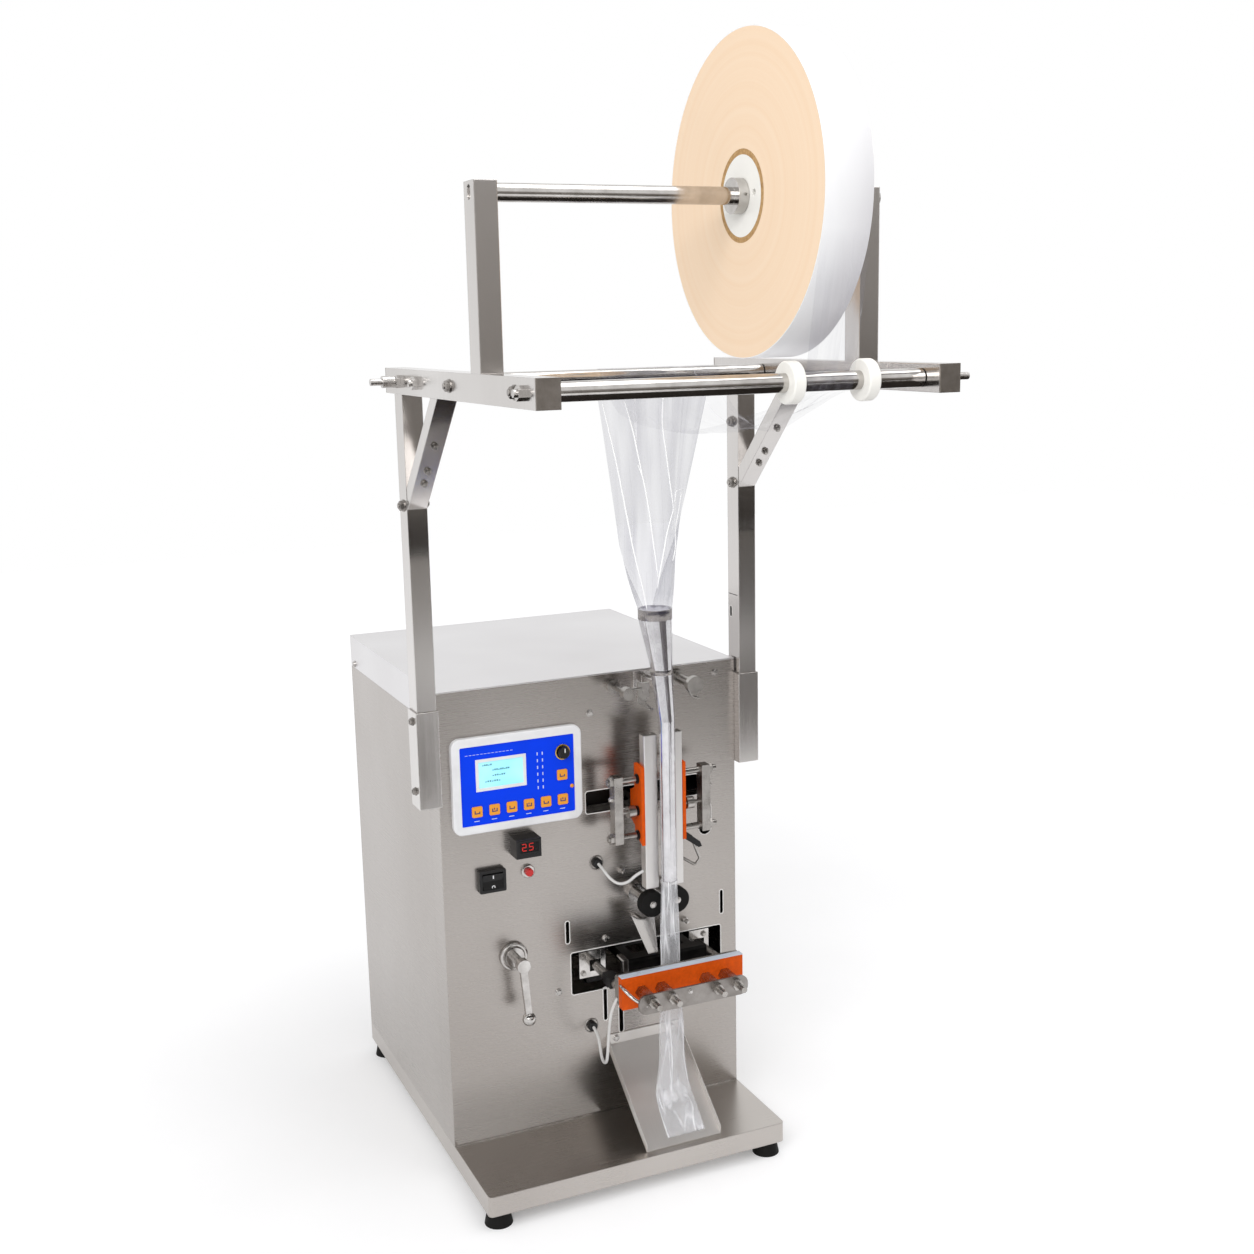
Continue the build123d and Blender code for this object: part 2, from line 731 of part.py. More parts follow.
def film_guide_right():
    """Pair of rods from the panel with a disc and a hook at the front."""
    x, z, y = guide_right_x, guide_z, guide_front_y
    body = rod_y(y - 8, y, x, z + 2, guide_disc_diameter)
    for dz in (-3.0, 6.0):
        body += rod_y(y, panel_y, x, z + dz, guide_pin_diameter)
    body += block(x - 6, x + 6, panel_y - 5, panel_y, z - 8, z + 11)
    return body + bent_rod([(x + dx, y - 4, z + dz) for dx, dz in hook_points], guide_pin_diameter - 1)


def bent_rod(points, diameter):
    """Round bar along straight runs with rounded bends."""
    path = FilletPolyline(*points, radius=diameter * 1.1)
    return sweep(Plane(origin=path @ 0, z_dir=path % 0) * Circle(diameter / 2), path)


def lever_rod_bent():
    """Bent handle of the small lever beside the sealer."""
    return bent_rod([(x, lever_front_y + 3, z) for x, z in lever_rod], guide_pin_diameter - 1)


def seal_lever():
    """Small black lever on its stud."""
    body = front_profile(list(lever_plate), lever_front_y, lever_front_y + 8)
    x, z = lever_stud
    return body + rod_y(lever_front_y, panel_y, x, z, 9.0) - lever_rod_bent()


def jaw_x_range(half):
    return unit_x - half, unit_x + half


def front_jaw():
    """Heated bar of the moving jaw with its two slide rods."""
    x0, x1 = jaw_x_range(jaw_half)
    y0 = jaw_front_y + insulator_thickness
    y1 = y0 + heater_thickness
    bar = block(x0, x1, y0, y1, jaw_bottom + 4, jaw_top - 1)
    face = bar.edges().filter_by(Axis.X).group_by(Axis.Y)[-1]
    bar = chamfer(face, 4.0)
    for side in (-1, 1):
        bar += rod_y(y1 - 6, jaw_rod_back_y, unit_x + side * jaw_rod_offset, jaw_rod_z, jaw_rod_diameter)
    return bar


def jaw_insulator():
    x0, x1 = jaw_x_range(jaw_half)
    plate = block(x0, x1, jaw_front_y, jaw_front_y + insulator_thickness, jaw_bottom, jaw_top)
    return fillet(plate.edges().filter_by(Axis.Y), 2.0)


def jaw_studs():
    """Studs that clamp the plate in front of the jaw, with their spacers."""
    studs = []
    for offset_x in jaw_stud_offsets:
        x = unit_x + offset_x
        stud = rod_y(bolt_plate_front_y - 24, jaw_front_y, x, jaw_stud_z, jaw_stud_diameter)
        spacer = extrude(RegularPolygon(9.0, 6), jaw_front_y - bolt_plate_front_y - bolt_plate_thickness)
        stud += Pos(x, bolt_plate_front_y + bolt_plate_thickness, jaw_stud_z) * Rot(-90, 0, 0) * spacer
        nut = extrude(RegularPolygon(7.5, 6), 8)
        stud += Pos(x, bolt_plate_front_y, jaw_stud_z) * Rot(90, 0, 0) * nut
        studs.append(stud)
    return Compound(children=studs)


def jaw_bolt_plate():
    x0, x1 = jaw_x_range(bolt_plate_half)
    y1 = bolt_plate_front_y + bolt_plate_thickness
    plate = plate_y(bolt_plate_front_y, y1, x0, x1, bolt_plate_bottom, bolt_plate_top, 11.0)
    for offset_x in jaw_stud_offsets:
        plate -= rod_y(bolt_plate_front_y - 1, y1 + 1, unit_x + offset_x, jaw_stud_z, jaw_stud_diameter)
    return plate


def rear_jaw():
    """Fixed jaw and the two bars that hold it to the rail."""
    x0, x1 = jaw_x_range(rear_jaw_half)
    y1 = rear_jaw_front_y + rear_jaw_depth
    jaw = block(x0, x1, rear_jaw_front_y, y1, jaw_bottom + 4, rear_jaw_top)
    face = jaw.edges().filter_by(Axis.X).group_by(Axis.Y)[0]
    jaw = chamfer(face, 3.0)
    for side in (-1, 1):
        x = unit_x + side * (rear_jaw_half - 14)
        jaw += block(x - 6, x + 6, y1, inner_rail_y, jaw_rail_z[0] + 0.5, jaw_rail_z[1] - 0.5)
    return jaw


def jaw_brackets():
    """Blocks behind the window that the jaw's rods slide in."""
    blocks = []
    for side in (-1, 1):
        x = unit_x + side * jaw_rod_offset
        half = jaw_bracket_width / 2
        y0 = inner_rail_y - jaw_bracket_depth
        body = block(x - half, x + half, y0, inner_rail_y, jaw_bottom - 6, jaw_rail_z[1] - 2)
        body -= rod_y(y0 - 1, inner_rail_y + 1, x, jaw_rod_z, jaw_rod_diameter + 2 * running_clearance)
        blocks.append(body)
    return Compound(children=blocks)


def chute_floor_z(y):
    rise = chute_top - chute_flange - (tray_top + chute_sheet)
    return tray_top + chute_sheet + rise * (y - chute_front_y) / (panel_y - chute_sheet - chute_front_y)


def discharge_chute():
    """Bent sheet trough from the panel down to the deck."""
    x0, x1 = chute_x
    y1 = panel_y
    y0 = panel_y - chute_sheet
    z1 = chute_top - chute_flange
    flange = block(x0, x1, y0, y1, z1 - 1, chute_top)
    drop = chute_sheet * 1.3
    foot_z = tray_top + chute_sheet
    floor = [(y0, z1), (chute_front_y, foot_z), (chute_front_y, tray_top), (y1, z1 - drop), (y1, z1)]
    chute = flange + side_profile(floor, x0, x1)
    side_z = tray_top + chute_side
    wall = [(y0, z1), (chute_front_y, foot_z), (chute_front_y, side_z), (y0, z1 + chute_side)]
    for x in (x0, x1 - chute_sheet):
        chute += side_profile(wall, x, x + chute_sheet)
    return chute


def film_lead():
    """Film from the roll down to the front roller."""
    (y0, z0), (y1, z1) = lead_ends()
    run = hypot(y1 - y0, z1 - z0)
    ny, nz = (z1 - z0) / run, -(y1 - y0) / run
    outline = [(y0, z0), (y1, z1), (y1 + ny * film, z1 + nz * film), (y0 + ny * film, z0 + nz * film)]
    sheet = side_profile(outline, roll_left_x - 20, roll_right_x + 20)
    taper = [(roll_left_x, z0), (roll_right_x, z0), (slack_x[1], z1), (slack_x[0], z1)]
    return sheet & front_profile(taper, y0 - 5, y1 + 5)


def lead_ends():
    ra = roll_radius + film_gap
    rb = front_roller_diameter / 2 + film_gap
    ny, nz = tangent_normal(roll_axis_y, roll_axis_z, ra, front_roller_y, front_roller_z, rb, 1)
    top = (roll_axis_y + ny * ra, roll_axis_z + nz * ra)
    low = (front_roller_y + ny * rb, front_roller_z + nz * rb)
    return top, low


def film_slack():
    """Film round the front roller, through the slack loop and over the rear roller."""
    edges = slack_edge(0.0)
    edges += slack_edge(film)
    edges += [Line(edges[0] @ 0, edges[3] @ 0), Line(edges[2] @ 1, edges[5] @ 1)]
    sheet = Pos(web_x[0] - 5, 0, 0) * extrude(Plane.YZ * make_face(edges), web_x[1] - web_x[0] + 10)
    front, back = front_roller_y - 25, rear_roller_y + 25
    spread, full = front_roller_y + 26, rear_roller_y - 5
    plan = [(slack_x[0], front), (slack_x[1], front), (slack_x[1], spread), (web_x[1], full),
            (web_x[1], back), (web_x[0], back), (web_x[0], full), (slack_x[0], spread)]
    return sheet & extrude(make_face(Polyline(plan + [plan[0]])), 2000)


def slack_edge(shift):
    """One side of the loop in the side view: two roller arcs and the curve between."""
    r1 = front_roller_diameter / 2 + film_gap + shift
    r2 = rear_roller_diameter / 2 + film_gap + film - shift
    first = roller_arc(front_roller_y, r1, front_touch_angle(), slack_leave_angle)
    last = roller_arc(rear_roller_y, r2, slack_arrive_angle, web_leave_angle)
    points = [first @ 1] + [(y, z - shift) for y, z in slack_points] + [last @ 0]
    return [first, Spline(points, tangents=[first % 1, last % 0]), last]


def roller_arc(y, r, a0, a1):
    places = [(y + r * cos(radians(a)), front_roller_z + r * sin(radians(a))) for a in (a0, (a0 + a1) / 2, a1)]
    return ThreePointArc(*places)


def front_touch_angle():
    ra = roll_radius + film_gap
    rb = front_roller_diameter / 2 + film_gap
    ny, nz = tangent_normal(roll_axis_y, roll_axis_z, ra, front_roller_y, front_roller_z, rb, 1)
    return degrees(atan2(nz, ny)) % 360


def film_web():
    """Film that hangs from the rear roller and gathers to the funnel."""
    r2 = rear_roller_diameter / 2 + film_gap + film
    y0 = rear_roller_y + r2 * cos(radians(web_leave_angle))
    z0 = rear_roller_z + r2 * sin(radians(web_leave_angle))
    r3 = r2 - film
    y3 = rear_roller_y + r3 * cos(radians(web_leave_angle))
    z3 = rear_roller_z + r3 * sin(radians(web_leave_angle))
    y1 = tube_y + funnel_lean + funnel_diameter / 2 + film_gap + film + 0.8
    z1 = web_end_z
    side = [(y0, z0), (y1, z1), (y1 - film, z1), (y3, z3)]
    sheet = side_profile(side, web_x[0] - 5, web_x[1] + 5)
    r = funnel_diameter / 2 + film_gap + film
    taper = [(web_x[0], z0), (web_x[1], z0), (unit_x + r, z1), (unit_x - r, z1)]
    return sheet & front_profile(taper, y0 - 60, y1 + 60)


def bag_strip():
    """Film below the tube: flattened for the jaws, then down the chute."""
    radius = forming_diameter / 2 + film_gap + film
    top = Pos(unit_x, tube_y, tube_bottom) * Circle(radius)
    section = Pos(unit_x, tube_y, bag_flat_z) * Ellipse(bag_width / 2, bag_thickness / 2)
    neck = loft([section, top])
    slope = atan2(chute_floor_z(1) - chute_floor_z(0), 1)
    rise = (bag_thickness / 2 + film_gap) / cos(slope)
    end_y = chute_front_y + 6
    points = [(unit_x, tube_y, bag_flat_z), (unit_x, tube_y, chute_floor_z(tube_y) + rise),
              (unit_x, end_y, chute_floor_z(end_y) + rise)]
    path = FilletPolyline(points, radius=bag_bend)
    return neck + sweep(section, path)


def control_bezel():
    x0, x1, z0, z1 = bezel
    frame = plate_y(panel_y - bezel_reach, panel_y, x0, x1, z0, z1, bezel_corner)
    front = frame.faces().sort_by(Axis.Y)[0]
    frame = fillet(front.edges(), 2.0)
    m = face_margin
    return frame - plate_y(panel_y - bezel_reach - 1, panel_y + 1, x0 + m, x1 - m, z0 + m, z1 - m, 2.0)


def control_face():
    """Keypad plate inside the bezel, with a pocket for the display."""
    x0, x1, z0, z1 = bezel
    m = face_margin
    plate = plate_y(face_y, panel_y, x0 + m, x1 - m, z0 + m, z1 - m, 2.0)
    return plate - display_block(face_y - 1)


def display_block(y0):
    x0, x1, z0, z1 = display
    return plate_y(y0, face_y + display_depth, x0, x1, z0, z1, 1.0)


def control_keys():
    """Row of six keys and one above the last."""
    keys = []
    for n in range(7):
        column, row = (n, 0) if n < 6 else (5, 1)
        x = first_key_x + column * key_pitch
        z = key_row_z + row * key_rise
        half = key_size / 2
        keys.append(plate_y(face_y - key_reach, face_y, x - half, x + half, z - half, z + half, 2.0))
    return Compound(children=keys)


def control_knob():
    knob = rod_y(face_y - knob_reach, face_y, knob_x, knob_z, knob_diameter)
    return chamfer(knob.edges().filter_by(GeomType.CIRCLE).group_by(Axis.Y)[0], 1.5)


def temperature_unit():
    x0, x1, z0, z1 = unit_box
    body = block(x0, x1, panel_y - unit_reach, panel_y, z0, z1)
    front = body.faces().sort_by(Axis.Y)[0]
    body = fillet(front.edges(), 1.5)
    y0 = panel_y - unit_reach
    return body - plate_y(y0 - 1, y0 + 1.2, x0 + 4, x1 - 4, z0 + 8, z1 - 4, 1.0)


def rocker_frame():
    x0, x1, z0, z1 = rocker_box
    front = panel_y - rocker_frame_reach
    frame = plate_y(front, panel_y, x0, x1, z0, z1, 2.0)
    w = rocker_wall
    frame -= block(x0 + w, x1 - w, front - 1, panel_y + 1, z0 + w, z1 - w)
    bore = rocker_pin + 2 * running_clearance
    return frame - rod_x(x0 + 2, x1 - 2, rocker_axis_y, (z0 + z1) / 2, bore)


def rocker_key():
    """Key with a hollowed front that tips about its pin."""
    x0, x1, z0, z1 = rocker_box
    w = rocker_wall
    mid = (z0 + z1) / 2
    half = (z1 - z0) / 2 - w - 1.2
    outline = [(9.0, mid - half), (12.5, mid), (9.0, mid + half), (14.0, mid + half), (18.0, mid + 4),
               (18.0, mid - 4), (14.0, mid - half)]
    key = side_profile(outline, x0 + w + 0.4, x1 - w - 0.4)
    return key + rod_x(x0 + 2.2, x1 - 2.2, rocker_axis_y, mid, rocker_pin)


def push_button():
    button = rod_y(panel_y - 10.0, inner_y + 3.0, button_x, button_z, button_diameter)
    return chamfer(button.edges().filter_by(GeomType.CIRCLE).group_by(Axis.Y)[0], 1.2)


def button_ring():
    ring = rod_y(panel_y - 4.0, panel_y, button_x, button_z, button_collar)
    ring = chamfer(ring.edges().filter_by(GeomType.CIRCLE).group_by(Axis.Y)[0], 1.0)
    bore = button_diameter + 2 * running_clearance
    return ring - rod_y(panel_y - 10, panel_y + 1, button_x, button_z, bore)


def lever_flange():
    ring = rod_y(panel_y - 8.0, panel_y, lever_x, lever_z, lever_hub)
    return ring - rod_y(panel_y - 9, panel_y + 1, lever_x, lever_z, lever_shaft + 2 * running_clearance)


def lever_arm():
    """Crank on its spindle, with a round grip at the end."""
    spindle = rod_y(lever_y - 6, inner_y + 15, lever_x, lever_z, lever_shaft)
    hub = rod_y(lever_y - 8, lever_y + 2, lever_x, lever_z, 18.0)
    tip_x, tip_z = lever_x + 6.0, lever_z - lever_length + 9.0
    sides = [(lever_x - 5, lever_z), (lever_x + 5, lever_z), (tip_x + 4, tip_z), (tip_x - 4, tip_z)]
    bar = front_profile(sides, lever_y - 6, lever_y)
    grip = Pos(tip_x, lever_y - 3, tip_z) * Sphere(9.0)
    return spindle + hub + bar + grip


def grommets():
    rings = []
    for route in (channel_lead, jaw_lead):
        x, z = route[0][0], route[0][2]
        body = rod_y(panel_y - 7.0, panel_y, x, z, grommet_diameter)
        body = fillet(body.edges().filter_by(GeomType.CIRCLE).group_by(Axis.Y)[0], 2.0)
        body += rod_y(panel_y, inner_y, x, z, grommet_diameter - 4)
        rings.append(body)
    return Compound(children=rings)


def lead(name, route, end_x):
    """Round lead along its route, with arcs as large as its runs allow."""
    points = [Vector(*p) for p in route]
    radii = []
    for a, b, c in zip(points, points[1:], points[2:]):
        turn = (b - a).get_angle(c - b)
        run = min((b - a).length, (c - b).length)
        radii.append(0.45 * run / tan(radians(turn / 2)))
    print(name, 'radii', [round(r, 1) for r in radii])
    path = FilletPolyline(points, radius=radii)
    start = Plane(origin=path @ 0, z_dir=path % 0)
    tube = sweep(start * Circle(lead_diameter / 2), path)
    (x0, y0, z0), (x1, y1, z1) = route[0], route[-1]
    tube -= block(x0 - 5, x0 + 5, y0, y0 + 5, z0 - 5, z0 + 5)
    tube -= block(end_x, end_x + 9, y1 - 5, y1 + 5, z1 - 5, z1 + 5)
    print(name, 'length', round(path.length, 1), 'volume', round(tube.volume / (pi * lead_diameter ** 2 / 4), 1))
    return tube


os.makedirs("parts", exist_ok=True)
nodes = {
    "base_tray": base_tray(),
    "rubber_feet": rubber_feet(),
    "front_panel": front_panel(),
    "side_returns": side_returns(),
    "side_panels": group(side_panel(-1), side_panel(1)),
    "back_panel": back_panel(),
    "cabinet_lid": cabinet_lid(),
    "inner_rails": inner_rails(),
    "sleeves": group(sleeve(-1), sleeve(1)),
    "uprights": group(upright(-1), upright(1)),
    "arms": group(arm(-1), arm(1)),
    "arm_end_caps": arm_end_caps(),
    "braces": group(brace(-1), brace(1)),
    "roll_posts": group(roll_post(-1), roll_post(1)),
    "frame_studs": group(front_axle(), rear_axle(), arm_stud()),
    "roll_shaft": roll_shaft(),
    "film_roll": film_roll(),
    "roll_core": roll_core(),
    "roll_chucks": roll_chucks(),
    "front_roller": roller(front_roller_y, front_roller_diameter),
    "guide_rings": guide_rings(),
    "rear_roller": roller(rear_roller_y, rear_roller_diameter),
    "film_lead": film_lead(),
    "film_slack": film_slack(),
    "film_web": film_web(),
    "film_sleeve": film_sleeve(),
    "bag_strip": bag_strip(),
    "forming_tube": forming_tube(),
    "tube_holder": tube_holder(),
    "film_guides": group(film_guide_left(), film_guide_right()),
    "seal_lever": seal_lever(),
    "seal_bars": group(channel(-1), channel(1)),
    "seal_plates": group(seal_plate(-1), seal_plate(1)),
    "seal_supports": group(seal_support(-1), seal_support(1), lever_rod_bent()),
    "seal_arms": group(seal_arm(-1), seal_arm(1)),
    "pull_wheel_left": pull_wheel(0),
    "pull_wheel_right": pull_wheel(1),
    "pull_shaft_left": pull_shaft(0),
    "pull_shaft_right": pull_shaft(1),
    "panel_bushes": group(pull_bearings(), button_ring(), lever_flange()),
    "deflector_plate": deflector_plate(),
    "front_jaw": front_jaw(),
    "jaw_insulator": jaw_insulator(),
    "jaw_studs": jaw_studs(),
    "jaw_bolt_plate": jaw_bolt_plate(),
    "rear_jaw": rear_jaw(),
    "jaw_brackets": jaw_brackets(),
    "discharge_chute": discharge_chute(),
    "control_bezel": control_bezel(),
    "control_face": control_face(),
    "control_keys": control_keys(),
    "control_knob": control_knob(),
    "temperature_unit": temperature_unit(),
    "rocker_frame": rocker_frame(),
    "rocker_key": rocker_key(),
    "push_button": push_button(),
    "lever_arm": lever_arm(),
    "grommets": grommets(),
    "channel_lead": lead("channel_lead", channel_lead, unit_x - channel_offset - channel_width),
    "jaw_lead": lead("jaw_lead", jaw_lead, unit_x - jaw_half),
}
for name, solid in nodes.items():
    export_step(solid, f"parts/{name}.step")
print(len(nodes), "nodes")
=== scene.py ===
import math
import random

import bmesh
import bpy
from mathutils import Matrix, Vector


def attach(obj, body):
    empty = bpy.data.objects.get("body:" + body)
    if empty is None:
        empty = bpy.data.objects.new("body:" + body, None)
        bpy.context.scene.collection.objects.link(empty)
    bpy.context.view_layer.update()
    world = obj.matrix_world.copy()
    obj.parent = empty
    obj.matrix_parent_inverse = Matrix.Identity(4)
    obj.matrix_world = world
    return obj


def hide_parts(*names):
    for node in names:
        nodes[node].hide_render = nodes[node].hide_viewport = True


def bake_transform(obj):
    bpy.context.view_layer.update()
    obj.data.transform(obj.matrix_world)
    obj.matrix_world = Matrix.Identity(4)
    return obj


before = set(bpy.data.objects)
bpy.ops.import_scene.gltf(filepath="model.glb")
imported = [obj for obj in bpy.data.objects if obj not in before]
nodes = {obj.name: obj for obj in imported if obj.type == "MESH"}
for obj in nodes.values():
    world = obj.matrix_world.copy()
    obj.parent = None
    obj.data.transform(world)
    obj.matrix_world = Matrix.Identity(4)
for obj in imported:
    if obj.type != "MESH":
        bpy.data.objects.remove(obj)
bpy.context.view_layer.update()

mm = 0.001
collection = bpy.context.scene.collection
print("frame loaded,", len(nodes), "nodes")


# small helpers

def toLinear(code):
    # sRGB hex to the linear colour that a shader wants
    values = [int(code[i:i + 2], 16) / 255 for i in (1, 3, 5)]
    return tuple(v / 12.92 if v <= 0.04045 else ((v + 0.055) / 1.055) ** 2.4 for v in values) + (1.0,)


def addNode(tree, kind, inputs=None, **settings):
    # adds a node; an input is a number, a colour or another node's output socket
    node = tree.nodes.new(kind)
    for name, value in settings.items():
        setattr(node, name, value)
    for name, value in (inputs or {}).items():
        if isinstance(value, bpy.types.NodeSocket):
            tree.links.new(value, node.inputs[name])
        else:
            node.inputs[name].default_value = value
    return node


def addPiece(name, data, materials=(), body=None):
    # a new object at the origin, riding on a CAD body
    piece = bpy.data.objects.new(name, data)
    collection.objects.link(piece)
    for material in materials:
        data.materials.append(material)
    if body:
        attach(piece, body)
    return piece


def smoothStep(a, b, x):
    t = min(max((x - a) / (b - a), 0.0), 1.0)
    return t * t * (3 - 2 * t)


def between(a, b, t):
    return a + (b - a) * t


# camera at the photograph's place

photoCamera = {
    "place": (-0.7517, -1.7810, 1.1099),
    "right": (0.91111, -0.41165, -0.02005),
    "up": (0.09788, 0.16888, 0.98074),
    "back": (-0.40035, -0.89554, 0.19417),
    "lens": 44.386,
    "sensor": 36.0,
}


def makeCamera(view):
    data = bpy.data.cameras.new("photoCamera")
    data.sensor_fit = 'HORIZONTAL'
    data.sensor_width = view["sensor"]
    data.lens = view["lens"]
    data.clip_end = 60
    camera = bpy.data.objects.new("photoCamera", data)
    turn = Matrix((view["right"], view["up"], view["back"])).transposed().to_4x4()
    camera.matrix_world = Matrix.Translation(view["place"]) @ turn
    collection.objects.link(camera)
    bpy.context.scene.camera = camera


makeCamera(photoCamera)
print("camera ready")


# leads: two short free leads, the route points are those of the solids, in mm

leads = {
    "channelLead": {
        "node": "channel_lead", "length": 0.0794, "diameter": 0.004, "stiffness": "limp",
        "route": ((2.0, 13.0, 406.0), (3.0, 2.0, 403.0), (9.0, -8.0, 391.0), (19.0, -16.0, 384.0),
                  (30.0, -22.0, 388.0), (38.0, -27.0, 398.0), (47.7, -30.0, 403.0)),
    },
    "jawLead": {
        "node": "jaw_lead", "length": 0.176, "diameter": 0.004, "stiffness": "medium",
        "route": ((-11.0, 13.0, 177.0), (-11.0, -2.1, 171.9), (-13.7, -14.0, 160.8), (-17.4, -27.6, 152.2),
                  (-20.3, -43.7, 152.2), (-22.3, -56.8, 161.3), (-23.0, -62.0, 176.5),
                  (-22.4, -63.4, 192.6), (-22.2, -66.2, 208.7), (-21.8, -69.1, 224.7),
                  (-19.5, -71.2, 240.8), (-12.0, -72.0, 254.0)),
        "moving": ((-0.022, -0.050, 0.190), (-0.015, -0.072, 0.245)),
    },
}


def lineMesh(name, lead, bevel):
    # the route as a smooth curve made a mesh: a tube, or a bare line where bevel is 0
    curve = bpy.data.curves.new(name, 'CURVE')
    curve.dimensions = '3D'
    curve.resolution_u = 16
    curve.bevel_depth = bevel
    curve.bevel_resolution = 5
    curve.use_fill_caps = True
    spline = curve.splines.new('NURBS')
    spline.points.add(len(lead["route"]) - 1)
    for point, place in zip(spline.points, lead["route"]):
        point.co = (*(v * mm for v in place), 1.0)
    spline.order_u = 3
    spline.use_endpoint_u = True
    line = addPiece(name, curve)
    graph = bpy.context.evaluated_depsgraph_get()
    mesh = bpy.data.meshes.new_from_object(line.evaluated_get(graph))
    bpy.data.objects.remove(line)
    bpy.data.curves.remove(curve)
    return mesh


def makeLead(name, lead):
    path = [v.co.copy() for v in lineMesh(name + "PathLine", lead, 0.0).vertices]
    piece = addPiece(name, lineMesh(name + "Line", lead, lead["diameter"] / 2))
    if "moving" in lead:
        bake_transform(piece)
    else:
        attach(piece, "machine")
    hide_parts(lead["node"])
    return piece


leadPieces = [makeLead(name, lead) for name, lead in leads.items()]
print("leads ready")


# materials

def newMaterial(name, **shading):
    material = bpy.data.materials.new(name)
    material.use_nodes = True
    tree = material.node_tree
    tree.nodes.clear()
    shader = addNode(tree, 'ShaderNodeBsdfPrincipled', {k.replace("_", " "): v for k, v in shading.items()})
    addNode(tree, 'ShaderNodeOutputMaterial', {"Surface": shader.outputs[0]})
    place = addNode(tree, 'ShaderNodeTexCoord').outputs["Object"]
    return material, tree, shader, place


def feed(tree, shader, values):
    # links each value to the shader's input of that name
    for name, value in values.items():
        tree.links.new(value, shader.inputs[name])


def noise(tree, place, scale, detail=3.0, rough=0.5):
    # scale is in waves a metre along X, Y and Z, or one number for all three
    scale = scale if isinstance(scale, tuple) else (scale,) * 3
    spread = addNode(tree, 'ShaderNodeMapping', {"Vector": place, "Scale": scale})
    return addNode(tree, 'ShaderNodeTexNoise', {"Vector": spread.outputs[0], "Scale": 1.0, "Detail": detail,
                                                "Roughness": rough}).outputs["Fac"]


def spreadTo(tree, value, low=0.0, high=1.0, start=0.3, end=0.7):
    # maps a noise value to a range
    return addNode(tree, 'ShaderNodeMapRange', {"Value": value, "From Min": start, "From Max": end,
                                                "To Min": low, "To Max": high}).outputs[0]


def mixColours(tree, factor, first, second):
    # a colour is an sRGB code, a linear colour or another node's output
    first, second = (toLinear(v) if isinstance(v, str) else v for v in (first, second))
    return addNode(tree, 'ShaderNodeMix', {0: factor, 6: first, 7: second}, data_type='RGBA').outputs[2]


def mixNumbers(tree, factor, first, second):
    return addNode(tree, 'ShaderNodeMix', {0: factor, 2: first, 3: second}).outputs[0]


def combine(tree, operation, first, second=0.0):
    return addNode(tree, 'ShaderNodeMath', {0: first, 1: second}, operation=operation).outputs[0]


def axes(tree, vector):
    return addNode(tree, 'ShaderNodeSeparateXYZ', {0: vector}).outputs


def dimmed(colour, share):
    return tuple(v * share for v in toLinear(colour)[:3]) + (1.0,)


def addBump(tree, shader, height, strength, distance, corner=0.0):
    # corner is the radius in metres that a sharp edge is shaded with, as a folded or ground one has
    inputs = {"Height": height, "Strength": strength, "Distance": distance}
    if corner:
        inputs["Normal"] = addNode(tree, 'ShaderNodeBevel', {"Radius": corner}, samples=4).outputs[0]
    feed(tree, shader, {"Normal": addNode(tree, 'ShaderNodeBump', inputs).outputs[0]})


def brushedSteel(name, low, high, grain, rough, patch=0.02, lines=0.008, contrast=0.3):
    # 304 sheet or tube with a ground satin face: fine lines a fraction of a mm apart, drawn here about
    # 0.5 mm apart so that they show, and soft clouds where the sheet was wiped
    material, tree, shader, place = newMaterial(name, Metallic=1.0)
    normal = addNode(tree, 'ShaderNodeNewGeometry').outputs["Normal"]
    upward = combine(tree, 'ABSOLUTE', axes(tree, normal)["Z"])
    ground = mixNumbers(tree, upward, noise(tree, place, grain, 2.0, 0.6),
                        noise(tree, place, (grain[0], grain[2], 3), 2.0, 0.6))
    cloud = noise(tree, place, (4, 4, 2.6), 2.0)
    smudge = noise(tree, place, (16, 16, 9), 3.0, 0.55)
    base = mixColours(tree, spreadTo(tree, cloud), low, high)
    darker = mixColours(tree, contrast, base, low)
    feed(tree, shader, {"Base Color": mixColours(tree, spreadTo(tree, ground), darker, base),
                        "Roughness": combine(tree, 'ADD', spreadTo(tree, smudge, 0.0, patch),
                                             spreadTo(tree, ground, rough, rough + 0.03))})
    addBump(tree, shader, ground, lines, 0.0003, 0.0016)
    return material


def turnedSteel(name, low, high, roughness, patch=0.05):
    # turned, ground or plated steel: nearly a mirror, with faint rings from the lathe
    material, tree, shader, place = newMaterial(name, Metallic=1.0)
    rings = noise(tree, place, (520, 140, 140), 2.0)
    handled = noise(tree, place, 45, 4.0, 0.6)
    feed(tree, shader, {"Base Color": mixColours(tree, spreadTo(tree, handled), low, high),
                        "Roughness": combine(tree, 'ADD', spreadTo(tree, rings, roughness, roughness + 0.05),
                                             spreadTo(tree, handled, 0.0, patch))})
    addBump(tree, shader, rings, 0.03, 0.0002, 0.0007)
    return material


def mouldedPlastic(name, colour, roughness, grain=1400, strength=0.05, shade=0.90, level=0.5):
    # moulded ABS, nylon or rubber: fine spark-eroded grain and a slightly uneven gloss
    material, tree, shader, place = newMaterial(name, Specular_IOR_Level=level)
    uneven = noise(tree, place, 38, 3.0, 0.55)
    feed(tree, shader, {"Base Color": mixColours(tree, spreadTo(tree, uneven), dimmed(colour, shade), colour),
                        "Roughness": spreadTo(tree, uneven, roughness - 0.04, roughness + 0.06)})
    addBump(tree, shader, noise(tree, place, grain, 2.0), strength, 0.0002)
    return material


